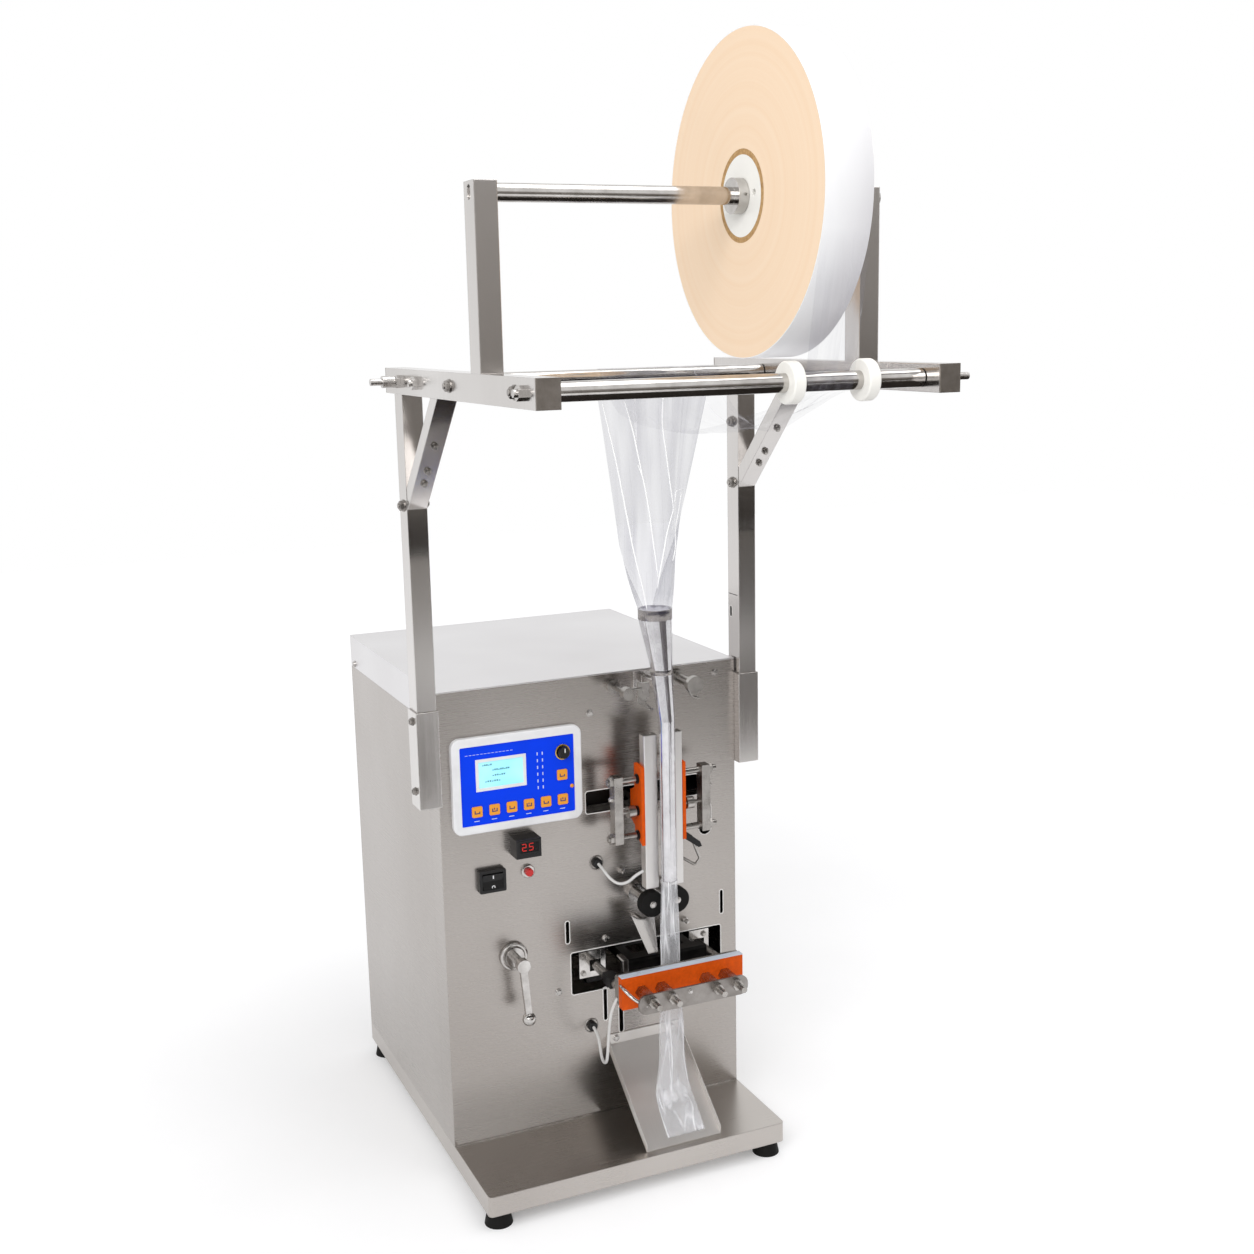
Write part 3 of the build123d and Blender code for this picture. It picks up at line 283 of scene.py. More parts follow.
def laminateBoard(name, colour, edge):
    # pressed phenolic board: matt, faintly mottled, a darker scorched tone in places
    material, tree, shader, place = newMaterial(name, Specular_IOR_Level=0.15)
    mottle = noise(tree, place, 160, 5.0, 0.65)
    scorch = noise(tree, place, 26, 2.0)
    tone = mixColours(tree, spreadTo(tree, mottle), edge, colour)
    feed(tree, shader, {"Base Color": mixColours(tree, spreadTo(tree, scorch, 0.55), edge, tone),
                        "Roughness": spreadTo(tree, mottle, 0.42, 0.6)})
    addBump(tree, shader, mottle, 0.08, 0.0003)
    return material


# the outer turn's colour runs from rimNear to a painted shade at its far edge and low down
woundRoll = {"axisY": -0.265, "axisZ": 1.239, "rim": 0.1712, "side": "#FFE6CA", "deep": "#F9D9B6",
             "nearX": 0.071, "farX": 0.127, "rimNear": "#FAFAFB", "rimPaintedShade": "#D6D4D7"}


def woundFilm(settings):
    # slit film wound hard: the cut side shows every turn as a fine ring and takes a warm cream colour,
    # the outer turn is smooth and bluish white
    material, tree, shader, place = newMaterial("woundPolyethyleneFilm", Specular_IOR_Level=0.35)
    centre = (0.0, -settings["axisY"], -settings["axisZ"])
    parts = axes(tree, addNode(tree, 'ShaderNodeMapping', {"Vector": place, "Location": centre}).outputs[0])
    flat = addNode(tree, 'ShaderNodeCombineXYZ', {"Y": parts["Y"], "Z": parts["Z"]}).outputs[0]
    radius = addNode(tree, 'ShaderNodeVectorMath', {0: flat}, operation='LENGTH').outputs["Value"]
    along = addNode(tree, 'ShaderNodeCombineXYZ', {"X": radius}).outputs[0]
    turns = noise(tree, along, (1600, 1, 1), 3.0, 0.7)       # rings about 0.6 mm apart
    bands = noise(tree, along, (120, 1, 1), 2.0)             # changes of winding tension
    side = mixColours(tree, spreadTo(tree, bands, 0.0, 0.6), settings["side"], settings["deep"])
    side = mixColours(tree, spreadTo(tree, turns, 0.0, 0.35), side, settings["deep"])
    sheen = noise(tree, place, (30, 4, 4), 2.0)
    # painted shade: the outer turn is painted darker towards its far edge, and more so low down
    across = spreadTo(tree, axes(tree, place)["X"], 0.0, 1.0, settings["nearX"], settings["farX"])
    across = combine(tree, 'ADD', across, spreadTo(tree, sheen, -0.12, 0.12))
    across = combine(tree, 'MULTIPLY', across, spreadTo(tree, parts["Z"], 1.0, 0.25, -0.1, 0.12))
    rim = mixColours(tree, across, settings["rimNear"], settings["rimPaintedShade"])
    outside = combine(tree, 'GREATER_THAN', radius, settings["rim"])
    feed(tree, shader, {"Base Color": mixColours(tree, outside, side, rim),
                        "Roughness": spreadTo(tree, outside, 0.62, 0.3, 0.0, 1.0)})
    addBump(tree, shader, turns, 0.12, 0.0003)
    return material


def clearFilm(name, settings):
    # blown polyethylene film: clear, a grey-lilac cast where it lies double, and along each crease a white, denser line
    # that is a painted highlight
    material, tree, shader, place = newMaterial(name, Roughness=settings["rough"], Specular_IOR_Level=0.5)
    sheet = addNode(tree, 'ShaderNodeUVMap', uv_map="UVMap").outputs[0]
    folds = noise(tree, sheet, settings["folds"], 1.0)
    patches = noise(tree, sheet, settings["patches"], 2.0)
    ridge = combine(tree, 'ABSOLUTE', combine(tree, 'SUBTRACT', folds, 0.5))
    # painted highlight: along each crease the film turns white and denser
    line = combine(tree, 'MULTIPLY', spreadTo(tree, ridge, 1.0, 0.0, 0.0, settings["crease"]),
                   spreadTo(tree, patches, 0.0, 1.0, 0.42, 0.6))
    haze = spreadTo(tree, patches, settings["clear"] * 0.6, settings["clear"] * 1.4, 0.35, 0.65)
    tight = spreadTo(tree, axes(tree, sheet)["Y"], 1.0, settings["tight"], *settings["tightFrom"])
    feed(tree, shader, {"Base Color": mixColours(tree, line, settings["film"], "#FDFDFF"),
                        "Alpha": combine(tree, 'MULTIPLY', mixNumbers(tree, line, haze, settings["dense"]), tight)})
    addBump(tree, shader, folds, settings["relief"], 0.004)
    return material


def cardTube(name, low, high):
    # spiral wound card tube: tan paper with fibres
    material, tree, shader, place = newMaterial(name, Specular_IOR_Level=0.2)
    fibre = noise(tree, place, (700, 260, 260), 4.0, 0.7)
    feed(tree, shader, {"Base Color": mixColours(tree, spreadTo(tree, fibre), low, high),
                        "Roughness": spreadTo(tree, fibre, 0.7, 0.9)})
    addBump(tree, shader, fibre, 0.2, 0.0003)
    return material


def litDisplay(name, colour, deep):
    # backlit liquid crystal window behind a clear cover
    material, tree, shader, place = newMaterial(name, Roughness=0.18, Emission_Strength=0.25)
    cells = noise(tree, place, 900, 1.0)
    tone = mixColours(tree, spreadTo(tree, noise(tree, place, 24, 2.0)), deep, colour)
    feed(tree, shader, {"Base Color": mixColours(tree, spreadTo(tree, cells, 0.0, 0.12), tone, deep),
                        "Emission Color": tone})
    return material


# stainless steel: cabinet sheet, lid, base tray, frame tube and chute
sheetSteel = brushedSteel("brushedStainlessSheet", "#A7A19C", "#B3AEAA", (7, 7, 1900), 0.25)
lidSteel = brushedSteel("brushedStainlessLid", "#D3D1D2", "#DFDEDF", (6, 1900, 1900), 0.30, lines=0.006)
trayMetal = brushedSteel("brushedStainlessTray", "#B5AFAA", "#C4BFBA", (6, 1700, 1700), 0.26)
tubeSteel = brushedSteel("satinStainlessTube", "#C4C0BD", "#DAD7D5", (1500, 1500, 9), 0.15, 0.03, 0.006, 0.5)
chuteSteel = brushedSteel("brushedStainlessChute", "#DBD7D3", "#E8E5E2", (1700, 6, 6), 0.42, lines=0.006)
# extruded aluminium of the vertical sealer
barAluminium = brushedSteel("extrudedAluminiumBar", "#CECBC9", "#DEDCDA", (1500, 1500, 8), 0.28, 0.06, 0.02, 0.5)
# turned, ground, plated and blackened steel
blockSteel = turnedSteel("milledSteel", "#8F8B87", "#B9B5B1", 0.24)
brightSteel = turnedSteel("platedSteel", "#A7A3A0", "#D4D1CE", 0.12)
rollerSteel = turnedSteel("polishedRollerTube", "#B3AFAB", "#CFCCC9", 0.08, 0.03)
funnelSteel = turnedSteel("polishedFunnel", "#CDCBCC", "#E4E3E4", 0.10, 0.03)
studSteel = turnedSteel("plainStud", "#8E8984", "#C0BCB8", 0.22)
plateSteel = turnedSteel("groundPlate", "#7F7A76", "#9D9894", 0.26)
boltSteel = turnedSteel("zincPlatedBolt", "#7C7773", "#B0ACA8", 0.2)
bandSteel = turnedSteel("rolledClampBand", "#8C8680", "#B3AEA9", 0.2)
darkSteel = turnedSteel("darkPlug", "#8A837C", "#A09993", 0.32)
# near black: for the inner rails and jaw brackets seen through the window it is painted shade, darker than their steel
blackSteel = turnedSteel("blackenedSteelAndPaintedShade", "#1E1D1D", "#2E2D2C", 0.35)
gilt = turnedSteel("gildedRing", "#B98F3C", "#E0BE6C", 0.22)
# boards, plastics, rubber and card
board = laminateBoard("orangePhenolicBoard", "#E95C06", "#CB4D06")
nylon = mouldedPlastic("turnedNylon", "#FBF9F3", 0.38, 600, 0.04, 0.96)
whiteMoulding = mouldedPlastic("whiteMoulding", "#ECECEE", 0.32)
blackMoulding = mouldedPlastic("blackMoulding", "#141314", 0.34, 1300, 0.08, 0.8, 0.35)
redMoulding = mouldedPlastic("redMoulding", "#C81D1B", 0.25)
rubber = mouldedPlastic("blackRubber", "#181716", 0.62, 900, 0.12, 0.75, 0.15)
leadCover = mouldedPlastic("leadCover", "#D9D8D6", 0.42, 900, 0.05, 0.9)
# pale rims round openings: a painted highlight along the cut edges of the sheet
edgeHighlight = mouldedPlastic("paintedEdgeHighlight", "#EFEDEA", 0.3, 700, 0.03, 0.95)
glassTape = mouldedPlastic("coatedGlassTape", "#BFC7D2", 0.3, 700, 0.08, 0.94)
# near black: the temperature unit's dark window and a joint line, and painted shade in screw slots and the upright's
# hole
darkFillAndPaintedShade = mouldedPlastic("darkFillAndPaintedShadeMoulding", "#0D0C0C", 0.8, 900, 0.1, 0.8, 0.1)
card = cardTube("spiralCardTube", "#A67F50", "#D4AE7C")
# keypad foil, its prints and the lit display
blueFace = mouldedPlastic("blueKeypadFoil", "#0140F2", 0.42, 1800, 0.03, 0.94, 0.1)
orangeKey = mouldedPlastic("orangeKeyFoil", "#F3A024", 0.35, 1600, 0.04, 0.93)
lcd = litDisplay("lcdWindow", "#B4F4FC", "#93E6F4")
lcdInk = mouldedPlastic("lcdSegments", "#3F8EA8", 0.3)
keyInk = mouldedPlastic("darkBluePrint", "#1B3070", 0.4)
paleInk = mouldedPlastic("palePrint", "#C9D6F6", 0.4)
redDigit = mouldedPlastic("redSegments", "#E3261E", 0.3)
# film on the roll and on its way; folds and patches are in waves across, along and through the sheet
loopLook = {"rough": 0.2, "folds": (6, 0.5, 1), "patches": (4, 1.5, 1), "crease": 0.008, "film": "#8B8A99",
            "clear": 0.05, "dense": 0.25, "relief": 0.05, "tight": 1.0, "tightFrom": (0.0, 1.0)}
rollFilm = woundFilm(woundRoll)
leadFilm = clearFilm("polyethyleneLead", dict(loopLook, clear=0.08, tight=0.0, tightFrom=(0.55, 0.1)))
loopFilm = clearFilm("polyethyleneLoop", loopLook)
webFilm = clearFilm("polyethyleneWeb", dict(
    loopLook, folds=(9, 0.5, 1), patches=(5, 1.2, 1), crease=0.010, film="#74728A", clear=0.17, dense=0.45,
    relief=0.08, tight=0.35, tightFrom=(0.86, 0.96)))
bagFilm = clearFilm("creasedPolyethyleneBag", dict(
    loopLook, rough=0.14, folds=(6, 1.3, 1), patches=(5, 3, 1), crease=0.045, film="#F4F4F7", clear=0.19,
    dense=0.95, relief=0.3))
gatherFilm = mouldedPlastic("gatheredFilm", "#E3E2E8", 0.3, 60, 0.3, 0.86)
# the fold's bead is white and glows faintly: a painted highlight
creaseHighlightFilm = mouldedPlastic("foldedFilmEdgeHighlight", "#FFFFFF", 0.25, 300, 0.02, 0.98)
creaseHighlightShader = next(n for n in creaseHighlightFilm.node_tree.nodes if n.type == 'BSDF_PRINCIPLED')
creaseHighlightShader.inputs["Emission Color"].default_value = (1, 1, 1, 1)
creaseHighlightShader.inputs["Emission Strength"].default_value = 0.2      # painted highlight: the fold glows faintly, standing in for the light it catches
for leadPiece in leadPieces:
    leadPiece.data.materials.append(leadCover)

finishes = (
    (sheetSteel, "front_panel side_returns side_panels back_panel"),
    (lidSteel, "cabinet_lid"),
    (trayMetal, "base_tray"),
    (chuteSteel, "discharge_chute"),
    (tubeSteel, "sleeves uprights arms braces roll_posts tube_holder deflector_plate"),
    (blockSteel, "seal_supports seal_arms pull_shaft_left pull_shaft_right film_guides front_jaw"),
    (plateSteel, "jaw_bolt_plate"),
    (brightSteel, "frame_studs panel_bushes lever_arm"),
    (studSteel, "jaw_studs"),
    (funnelSteel, "forming_tube"),
    (rollerSteel, "roll_shaft front_roller rear_roller"),
    (darkSteel, "arm_end_caps"),
    (blackSteel, "rear_jaw inner_rails jaw_brackets"),
    (barAluminium, "seal_bars"),
    (board, "seal_plates jaw_insulator"),
    (nylon, "guide_rings roll_chucks"),
    (whiteMoulding, "control_bezel"),
    (blueFace, "control_face"),
    (orangeKey, "control_keys"),
    (blackMoulding, "control_knob temperature_unit rocker_frame rocker_key grommets seal_lever"),
    (redMoulding, "push_button"),
    (rubber, "rubber_feet pull_wheel_left pull_wheel_right"),
    (card, "roll_core"),
    (rollFilm, "film_roll"),
)
for material, names in finishes:
    for name in names.split():
        for slot in nodes[name].material_slots:
            slot.material = material
print("materials ready")


# mesh helpers

def settle(piece):
    # the result of the modifiers becomes the piece's own mesh
    graph = bpy.context.evaluated_depsgraph_get()
    piece.data = bpy.data.meshes.new_from_object(piece.evaluated_get(graph))
    piece.modifiers.clear()


def meshOf(name, build, merge=False, outwards=True):
    # merge joins doubled points, outwards turns every face out
    if merge:
        bmesh.ops.remove_doubles(build, verts=build.verts, dist=1e-6)
    if outwards:
        bmesh.ops.recalc_face_normals(build, faces=build.faces)
    mesh = bpy.data.meshes.new(name)
    build.to_mesh(mesh)
    build.free()
    return mesh


def joinRings(build, rings, smooth=True):
    # quads between neighbouring rings of points
    for first, second in zip(rings, rings[1:]):
        for n in range(len(first)):
            m = (n + 1) % len(first)
            build.faces.new((first[n], first[m], second[m], second[n])).smooth = smooth


def linePoint(points, at):
    # place on a smooth line through the points, at counts them
    part = min(int(at), len(points) - 2)
    t = at - part
    ends = (points[min(max(part + k, 0), len(points) - 1)] for k in (-1, 0, 1, 2))
    weights = (-t / 2 + t * t - t ** 3 / 2, 1 - 2.5 * t * t + 1.5 * t ** 3, t / 2 + 2 * t * t - 1.5 * t ** 3,
               -t * t / 2 + t ** 3 / 2)
    return [sum(values) for values in zip(*([w * v for v in end] for w, end in zip(weights, ends)))]


filmWall = 0.3     # mm, several times the real film so that the mesh stays sound


def filmPiece(name, rows, columns, placeAt, material, closed=False, rowUv=1.0):
    # sheet of quads from placeAt(u, v) in mm; closed joins the last column to the first
    build = bmesh.new()
    uv = build.loops.layers.uv.new("UVMap")
    count = columns if closed else columns + 1
    verts = [[build.verts.new(Vector(placeAt(c / columns, r / rows)) * mm) for c in range(count)]
             for r in range(rows + 1)]
    for r in range(rows):
        for c in range(columns):
            nextColumn = (c + 1) % count
            face = build.faces.new((verts[r][c], verts[r][nextColumn], verts[r + 1][nextColumn], verts[r + 1][c]))
            face.smooth = True
            corners = ((c, r), (c + 1, r), (c + 1, r + 1), (c, r + 1))
            for loop, (cc, rr) in zip(face.loops, corners):
                loop[uv].uv = (cc / columns, rr / rows * rowUv)
    piece = addPiece(name, meshOf(name, build, outwards=False), (material,))
    wall = piece.modifiers.new("wall", 'SOLIDIFY')
    wall.thickness = filmWall * mm
    wall.offset = 0.0
    settle(piece)
    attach(piece, "machine")
    return piece


def boxesPiece(name, boxes, material, body="machine"):
    # flat strokes and small plates, each from its low and high X, Y and Z in mm
    build = bmesh.new()
    for x0, x1, y0, y1, z0, z1 in boxes:
        made = bmesh.ops.create_cube(build, size=1.0)["verts"]
        bmesh.ops.scale(build, verts=made, vec=((x1 - x0) * mm, (y1 - y0) * mm, (z1 - z0) * mm))
        bmesh.ops.translate(build, verts=made, vec=((x0 + x1) / 2 * mm, (y0 + y1) / 2 * mm, (z0 + z1) / 2 * mm))
    return addPiece(name, meshOf(name, build, outwards=False), (material,), body)


def lathePiece(name, outline, place, axis, material, body="machine", steps=40):
    # closed outline of radius and distance along the axis, in mm, turned about the axis
    build = bmesh.new()
    turn = Vector((0, 0, 1)).rotation_difference(Vector(axis)).to_matrix()
    angles = [2 * math.pi * s / steps for s in range(steps)]
    rings = [[build.verts.new((turn @ Vector((radius * math.cos(a), radius * math.sin(a), along)) + Vector(place))
                              * mm) for a in angles] for radius, along in outline]
    joinRings(build, rings + rings[:1])
    return addPiece(name, meshOf(name, build, merge=True), (material,), body)


# film: from the roll to the front roller, slack loop, web to the funnel, tube and bag

filmPath = {
    "rollY": -265.0, "rollZ": 1239.0, "rollRadius": 172.3, "rollX": (71.0, 127.0),
    "frontY": -400.0, "rollerZ": 1045.0, "frontRadius": 10.5, "rearY": -55.0, "rearRadius": 9.8,
    "slackX": (64.0, 122.0), "webX": (-12.0, 147.0),
    "slackPoints": ((-330.0, 1012.0), (-215.0, 985.0), (-110.0, 1003.0)),
    "leave": 262.0, "arrive": 145.0, "webLeave": 9.0,
    "funnelX": 75.0,
}


def touchAngle(path):
    dy, dz = path["rollY"] - path["frontY"], path["rollZ"] - path["rollerZ"]
    lean = math.acos((path["frontRadius"] - path["rollRadius"]) / math.hypot(dy, dz))
    return math.atan2(dz, dy) + lean


def leadPlace(u, v):
    path = filmPath
    angle = touchAngle(path)
    top = (path["rollY"] + path["rollRadius"] * math.cos(angle), path["rollZ"] + path["rollRadius"] * math.sin(angle))
    low = (path["frontY"] + path["frontRadius"] * math.cos(angle),
           path["rollerZ"] + path["frontRadius"] * math.sin(angle))
    x0 = between(path["rollX"][0], path["slackX"][0], v)
    x1 = between(path["rollX"][1], path["slackX"][1], v)
    sag = 1.2 * math.sin(math.pi * v) * math.sin(5 * u + 1.0)
    return between(x0, x1, u), between(top[0], low[0], v) + sag, between(top[1], low[1], v)


def slackLine(path):
    # side view of the loop: round the front roller, down, up and over the rear roller
    points = []
    start = math.degrees(touchAngle(path))
    for n in range(9):
        a = math.radians(between(start, path["leave"], n / 8))
        points.append((path["frontY"] + path["frontRadius"] * math.cos(a),
                       path["rollerZ"] + path["frontRadius"] * math.sin(a)))
    ends = []
    for angle, centre, radius in ((path["leave"], path["frontY"], path["frontRadius"]),
                                  (path["arrive"], path["rearY"], path["rearRadius"])):
        a = math.radians(angle)
        ends.append((centre + radius * math.cos(a), path["rollerZ"] + radius * math.sin(a)))
    leaveSlope = math.radians(path["leave"] + 90)
    arriveSlope = math.radians(path["arrive"] - 90)
    knots = [ends[0]] + list(path["slackPoints"]) + [ends[1]]
    slopes = [(math.cos(leaveSlope), math.sin(leaveSlope))]
    for a, b in zip(knots, knots[2:]):
        size = math.hypot(b[0] - a[0], b[1] - a[1])
        slopes.append(((b[0] - a[0]) / size, (b[1] - a[1]) / size))
    slopes.append((math.cos(arriveSlope), math.sin(arriveSlope)))
    for n in range(len(knots) - 1):
        (ay, az), (by, bz) = knots[n], knots[n + 1]
        run = math.hypot(by - ay, bz - az)
        for k in range(1, 11):
            t = k / 10
            h = (2 * t ** 3 - 3 * t ** 2 + 1, t ** 3 - 2 * t ** 2 + t, -2 * t ** 3 + 3 * t ** 2, t ** 3 - t ** 2)
            points.append(tuple(h[0] * a + h[1] * run * sa + h[2] * b + h[3] * run * sb
                                for a, b, sa, sb in zip((ay, az), (by, bz), slopes[n], slopes[n + 1])))
    for n in range(1, 13):
        a = math.radians(between(path["arrive"], path["webLeave"], n / 12))
        points.append((path["rearY"] + path["rearRadius"] * math.cos(a),
                       path["rollerZ"] + path["rearRadius"] * math.sin(a)))
    return points


slackRows = slackLine(filmPath)


def slackPlace(u, v):
    path = filmPath
    y, z = slackRows[round(v * (len(slackRows) - 1))]
    open_ = smoothStep(path["frontY"] + 26, path["rearY"] - 5, y)
    x0 = between(path["slackX"][0], path["webX"][0], open_)
    x1 = between(path["slackX"][1], path["webX"][1], open_)
    free = smoothStep(path["frontY"] + 15, path["frontY"] + 60, y) * (1 - smoothStep(path["rearY"] - 60,
                                                                                   path["rearY"] - 15, y))
    ripple = 2.0 * free * math.sin(9 * u + y * 0.02) + 1.2 * free * math.sin(23 * u + 1)
    return between(x0, x1, u), y, z + ripple


funnelSections = ((749.0, -20.0, 21.5), (736.0, -20.0, 21.5), (673.0, -37.0, 13.5), (665.0, -37.0, 13.5),
                  (607.0, -50.0, 10.0), (392.0, -50.0, 10.0))


def funnelAt(z):
    # centre Y and radius of the funnel and tube at a height
    if z >= funnelSections[0][0]:
        return funnelSections[0][1:]
    for (z1, y1, r1), (z0, y0, r0) in zip(funnelSections, funnelSections[1:]):
        if z >= z0:
            t = (z - z0) / (z1 - z0)
            return between(y0, y1, t), between(r0, r1, t)
    return funnelSections[-1][1:]


webShape = {"topZ": 1046.5, "topY": -44.9, "rimZ": 749.0, "endZ": 393.0, "gap": 0.9, "wrap": 162.0}


def webPlace(u, v):
    # a flat width on the roller that gathers, curls back and closes round the funnel and tube
    shape = webShape
    z = between(shape["topZ"], shape["endZ"], v)
    side = 2 * u - 1
    centreY, radius = funnelAt(z)
    middle = between(sum(filmPath["webX"]) / 2, filmPath["funnelX"], smoothStep(shape["topZ"], shape["rimZ"], z))
    if z > shape["rimZ"]:
        t = (shape["topZ"] - z) / (shape["topZ"] - shape["rimZ"])
        half = between((filmPath["webX"][1] - filmPath["webX"][0]) / 2, radius + shape["gap"], t)
        wrap = math.radians(shape["wrap"] * (0.02 + 0.98 * t ** 1.6))
        bow = half / math.sin(min(wrap, math.pi / 2))
        front = between(shape["topY"], centreY - radius - shape["gap"], t)
        fold = math.sin(math.pi * t) ** 0.8
        lift = fold * (2.2 * math.sin(side * 7.0 + 0.6) + 1.1 * math.sin(side * 17.0 + t * 2.0))
        a = side * wrap
        return middle + (bow + lift) * math.sin(a), front + bow - (bow + lift) * math.cos(a), z
    wrap = math.radians(between(184.0, shape["wrap"], smoothStep(596.0, 638.0, z)))
    a = side * wrap
    r = radius + shape["gap"] + 0.35 * side
    return filmPath["funnelX"] + r * math.sin(a), centreY - r * math.cos(a), z


bagShape = {"x": 75.0, "y": -50.0, "topZ": 393.0, "flatZ": 318.0, "topRadius": 10.9, "half": 14.0, "thin": 1.2,
            "bend": 30.0, "floorY": -98.0, "tray": 48.5, "rise": 95.5, "front": -104.0, "back": 18.5,
            "spread": 1.05, "drift": -3.0}


def chuteFloor(y):
    shape = bagShape
    return shape["tray"] + shape["rise"] * (y - shape["front"]) / (shape["back"] - shape["front"])


def bagLine():
    # centre line of the strip below the tube: points with the direction of its thin side
    shape = bagShape
    slope = math.atan2(shape["rise"], shape["back"] - shape["front"])
    lift = 2.6 / math.cos(slope)
    corner = chuteFloor(shape["y"]) + lift
    turn = math.pi / 2 - slope
    reach = shape["bend"] * math.tan(turn / 2)
    line = []
    down = shape["topZ"] - (corner + reach)
    for n in range(61):
        line.append((shape["y"], shape["topZ"] - down * n / 60, 0.0))
    centreY = shape["y"] - shape["bend"]
    for n in range(1, 11):
        a = turn * n / 10
        line.append((centreY + shape["bend"] * math.cos(a), corner + reach - shape["bend"] * math.sin(a), a))
    y, z, a = line[-1]
    run = (y - shape["floorY"]) / math.cos(slope)
    for n in range(1, 21):
        step = run * n / 20
        line.append((y - step * math.cos(slope), z - step * math.sin(slope), a))
    return line


bagRows = bagLine()
random.seed(7)
bagWaves = [(random.uniform(0, 6.28), random.uniform(0.035, 0.09), random.uniform(1.5, 5.0)) for n in range(5)]


def bagPlace(u, v):
    shape = bagShape
    y, z, turn = bagRows[round(v * (len(bagRows) - 1))]
    flat = smoothStep(shape["topZ"], shape["flatZ"], z) if turn == 0 else 1.0
    below = smoothStep(236, 205, z) if turn == 0 else 1.0
    angle = 2 * math.pi * u
    wide = between(shape["topRadius"], shape["half"], flat)
    thin = between(shape["topRadius"], shape["thin"] + 1.0 * below, flat)
    across = wide * math.cos(angle)
    deep = thin * math.sin(angle)
    crumple = sum(math.sin(phase + z * wave + across * 0.09 * turns) for phase, wave, turns in bagWaves) / 5
    deep += crumple * (0.25 + 0.9 * below) * flat * (1 if math.sin(angle) > 0 else 0.4)
    across += 0.8 * below * math.sin(z * 0.07 + 1.0) * math.cos(angle)
    spread = smoothStep(0.25, 1.0, v)
    across = across * (1 + shape["spread"] * spread) + shape["drift"] * smoothStep(0.7, 1.0, v)
    return (shape["x"] + across, y - deep * math.cos(turn), z + deep * math.sin(turn))


filmLead = filmPiece("filmLead", 18, 14, leadPlace, leadFilm)
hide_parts("film_lead")
filmSlack = filmPiece("filmSlack", len(slackRows) - 1, 36, slackPlace, loopFilm)
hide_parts("film_slack")
filmWeb = filmPiece("filmWeb", 150, 96, webPlace, webFilm, rowUv=2.0)
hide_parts("film_web", "film_sleeve")
bagStrip = filmPiece("bagStrip", len(bagRows) - 1, 64, bagPlace, bagFilm, closed=True, rowUv=2.0)
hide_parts("bag_strip")


# creases: where the web folds on itself, a thin bead along a line of (across, down) places on the web, white and
# faintly glowing as a painted highlight

webCreases = {
    "width": 1.2, "proud": 0.7, "lift": 0.5,
    "routes": (((0.03, 0.05), (0.07, 0.13), (0.13, 0.226), (0.208, 0.318), (0.304, 0.4), (0.344, 0.452)),
               ((0.596, 0.01), (0.575, 0.05), (0.564, 0.10), (0.604, 0.154), (0.66, 0.229), (0.68, 0.259)),
               ((0.68, 0.26), (0.62, 0.285), (0.556, 0.313), (0.50, 0.36), (0.455, 0.41)),
               ((0.30, 0.17), (0.335, 0.19), (0.356, 0.209), (0.396, 0.264), (0.436, 0.333), (0.464, 0.39)),
               ((0.225, 0.05), (0.28, 0.104), (0.312, 0.152), (0.34, 0.19)),
               ((0.704, 0.246), (0.74, 0.232), (0.80, 0.226), (0.87, 0.224)),
               ((0.86, 0.23), (0.824, 0.279), (0.74, 0.31), (0.636, 0.36))),
}
def makeCreases(settings, stepsBetween=12):
    build = bmesh.new()
    for route in settings["routes"]:
        rows = []
        steps = stepsBetween * (len(route) - 1)
        for n in range(steps + 1):
            u, v = linePoint(route, n / stepsBetween)
            place = Vector(webPlace(u, v))
            along = (Vector(webPlace(u, v + 0.004)) - place).normalized()
            side = (Vector(webPlace(u + 0.01, v)) - place).normalized()
            out = side.cross(along)
            out *= -1 if out.y > 0 else 1
            taper = settings["width"] * (0.15 + 0.85 * math.sin(math.pi * n / steps) ** 0.5)
            proud = settings["proud"]
            rows.append([build.verts.new((place + out * settings["lift"] + offset) * mm) for offset in
                         (side * -taper, out * proud, side * taper, out * -proud)])
        joinRings(build, rows)
        build.faces.new(rows[0])
        build.faces.new(list(reversed(rows[-1])))
    return addPiece("webCreases", meshOf("webCreases", build), (creaseHighlightFilm,), "machine")


creases = makeCreases(webCreases)
mouthGather = {"outer": 20.6, "inner": 1.5, "top": 747.5, "low": 738.0, "x": 75.0, "y": -20.0}


def gatherPlace(u, v):
    # film bunched just inside the funnel's mouth
    shape = mouthGather
    a = 2 * math.pi * u
    r = between(shape["outer"], shape["inner"], v)
    lift = 1.3 * math.sin(9 * a) * (1 - v) + 0.7 * math.sin(5 * a + 2.0 * v)
    return shape["x"] + r * math.cos(a), shape["y"] + r * math.sin(a), between(shape["top"], shape["low"], v) + lift


gatheredFilm = filmPiece("gatheredFilm", 6, 54, gatherPlace, gatherFilm, closed=True)

# rectangles, so theirs is the area of the cut
print("film ready")


# screws and bolts, made by one tree of Geometry Nodes

screwLengths = ("Washer Radius", "Washer Height", "Head Radius", "Head Height", "Tip Radius", "Tip Height",
                "Slot Length", "Slot Width")


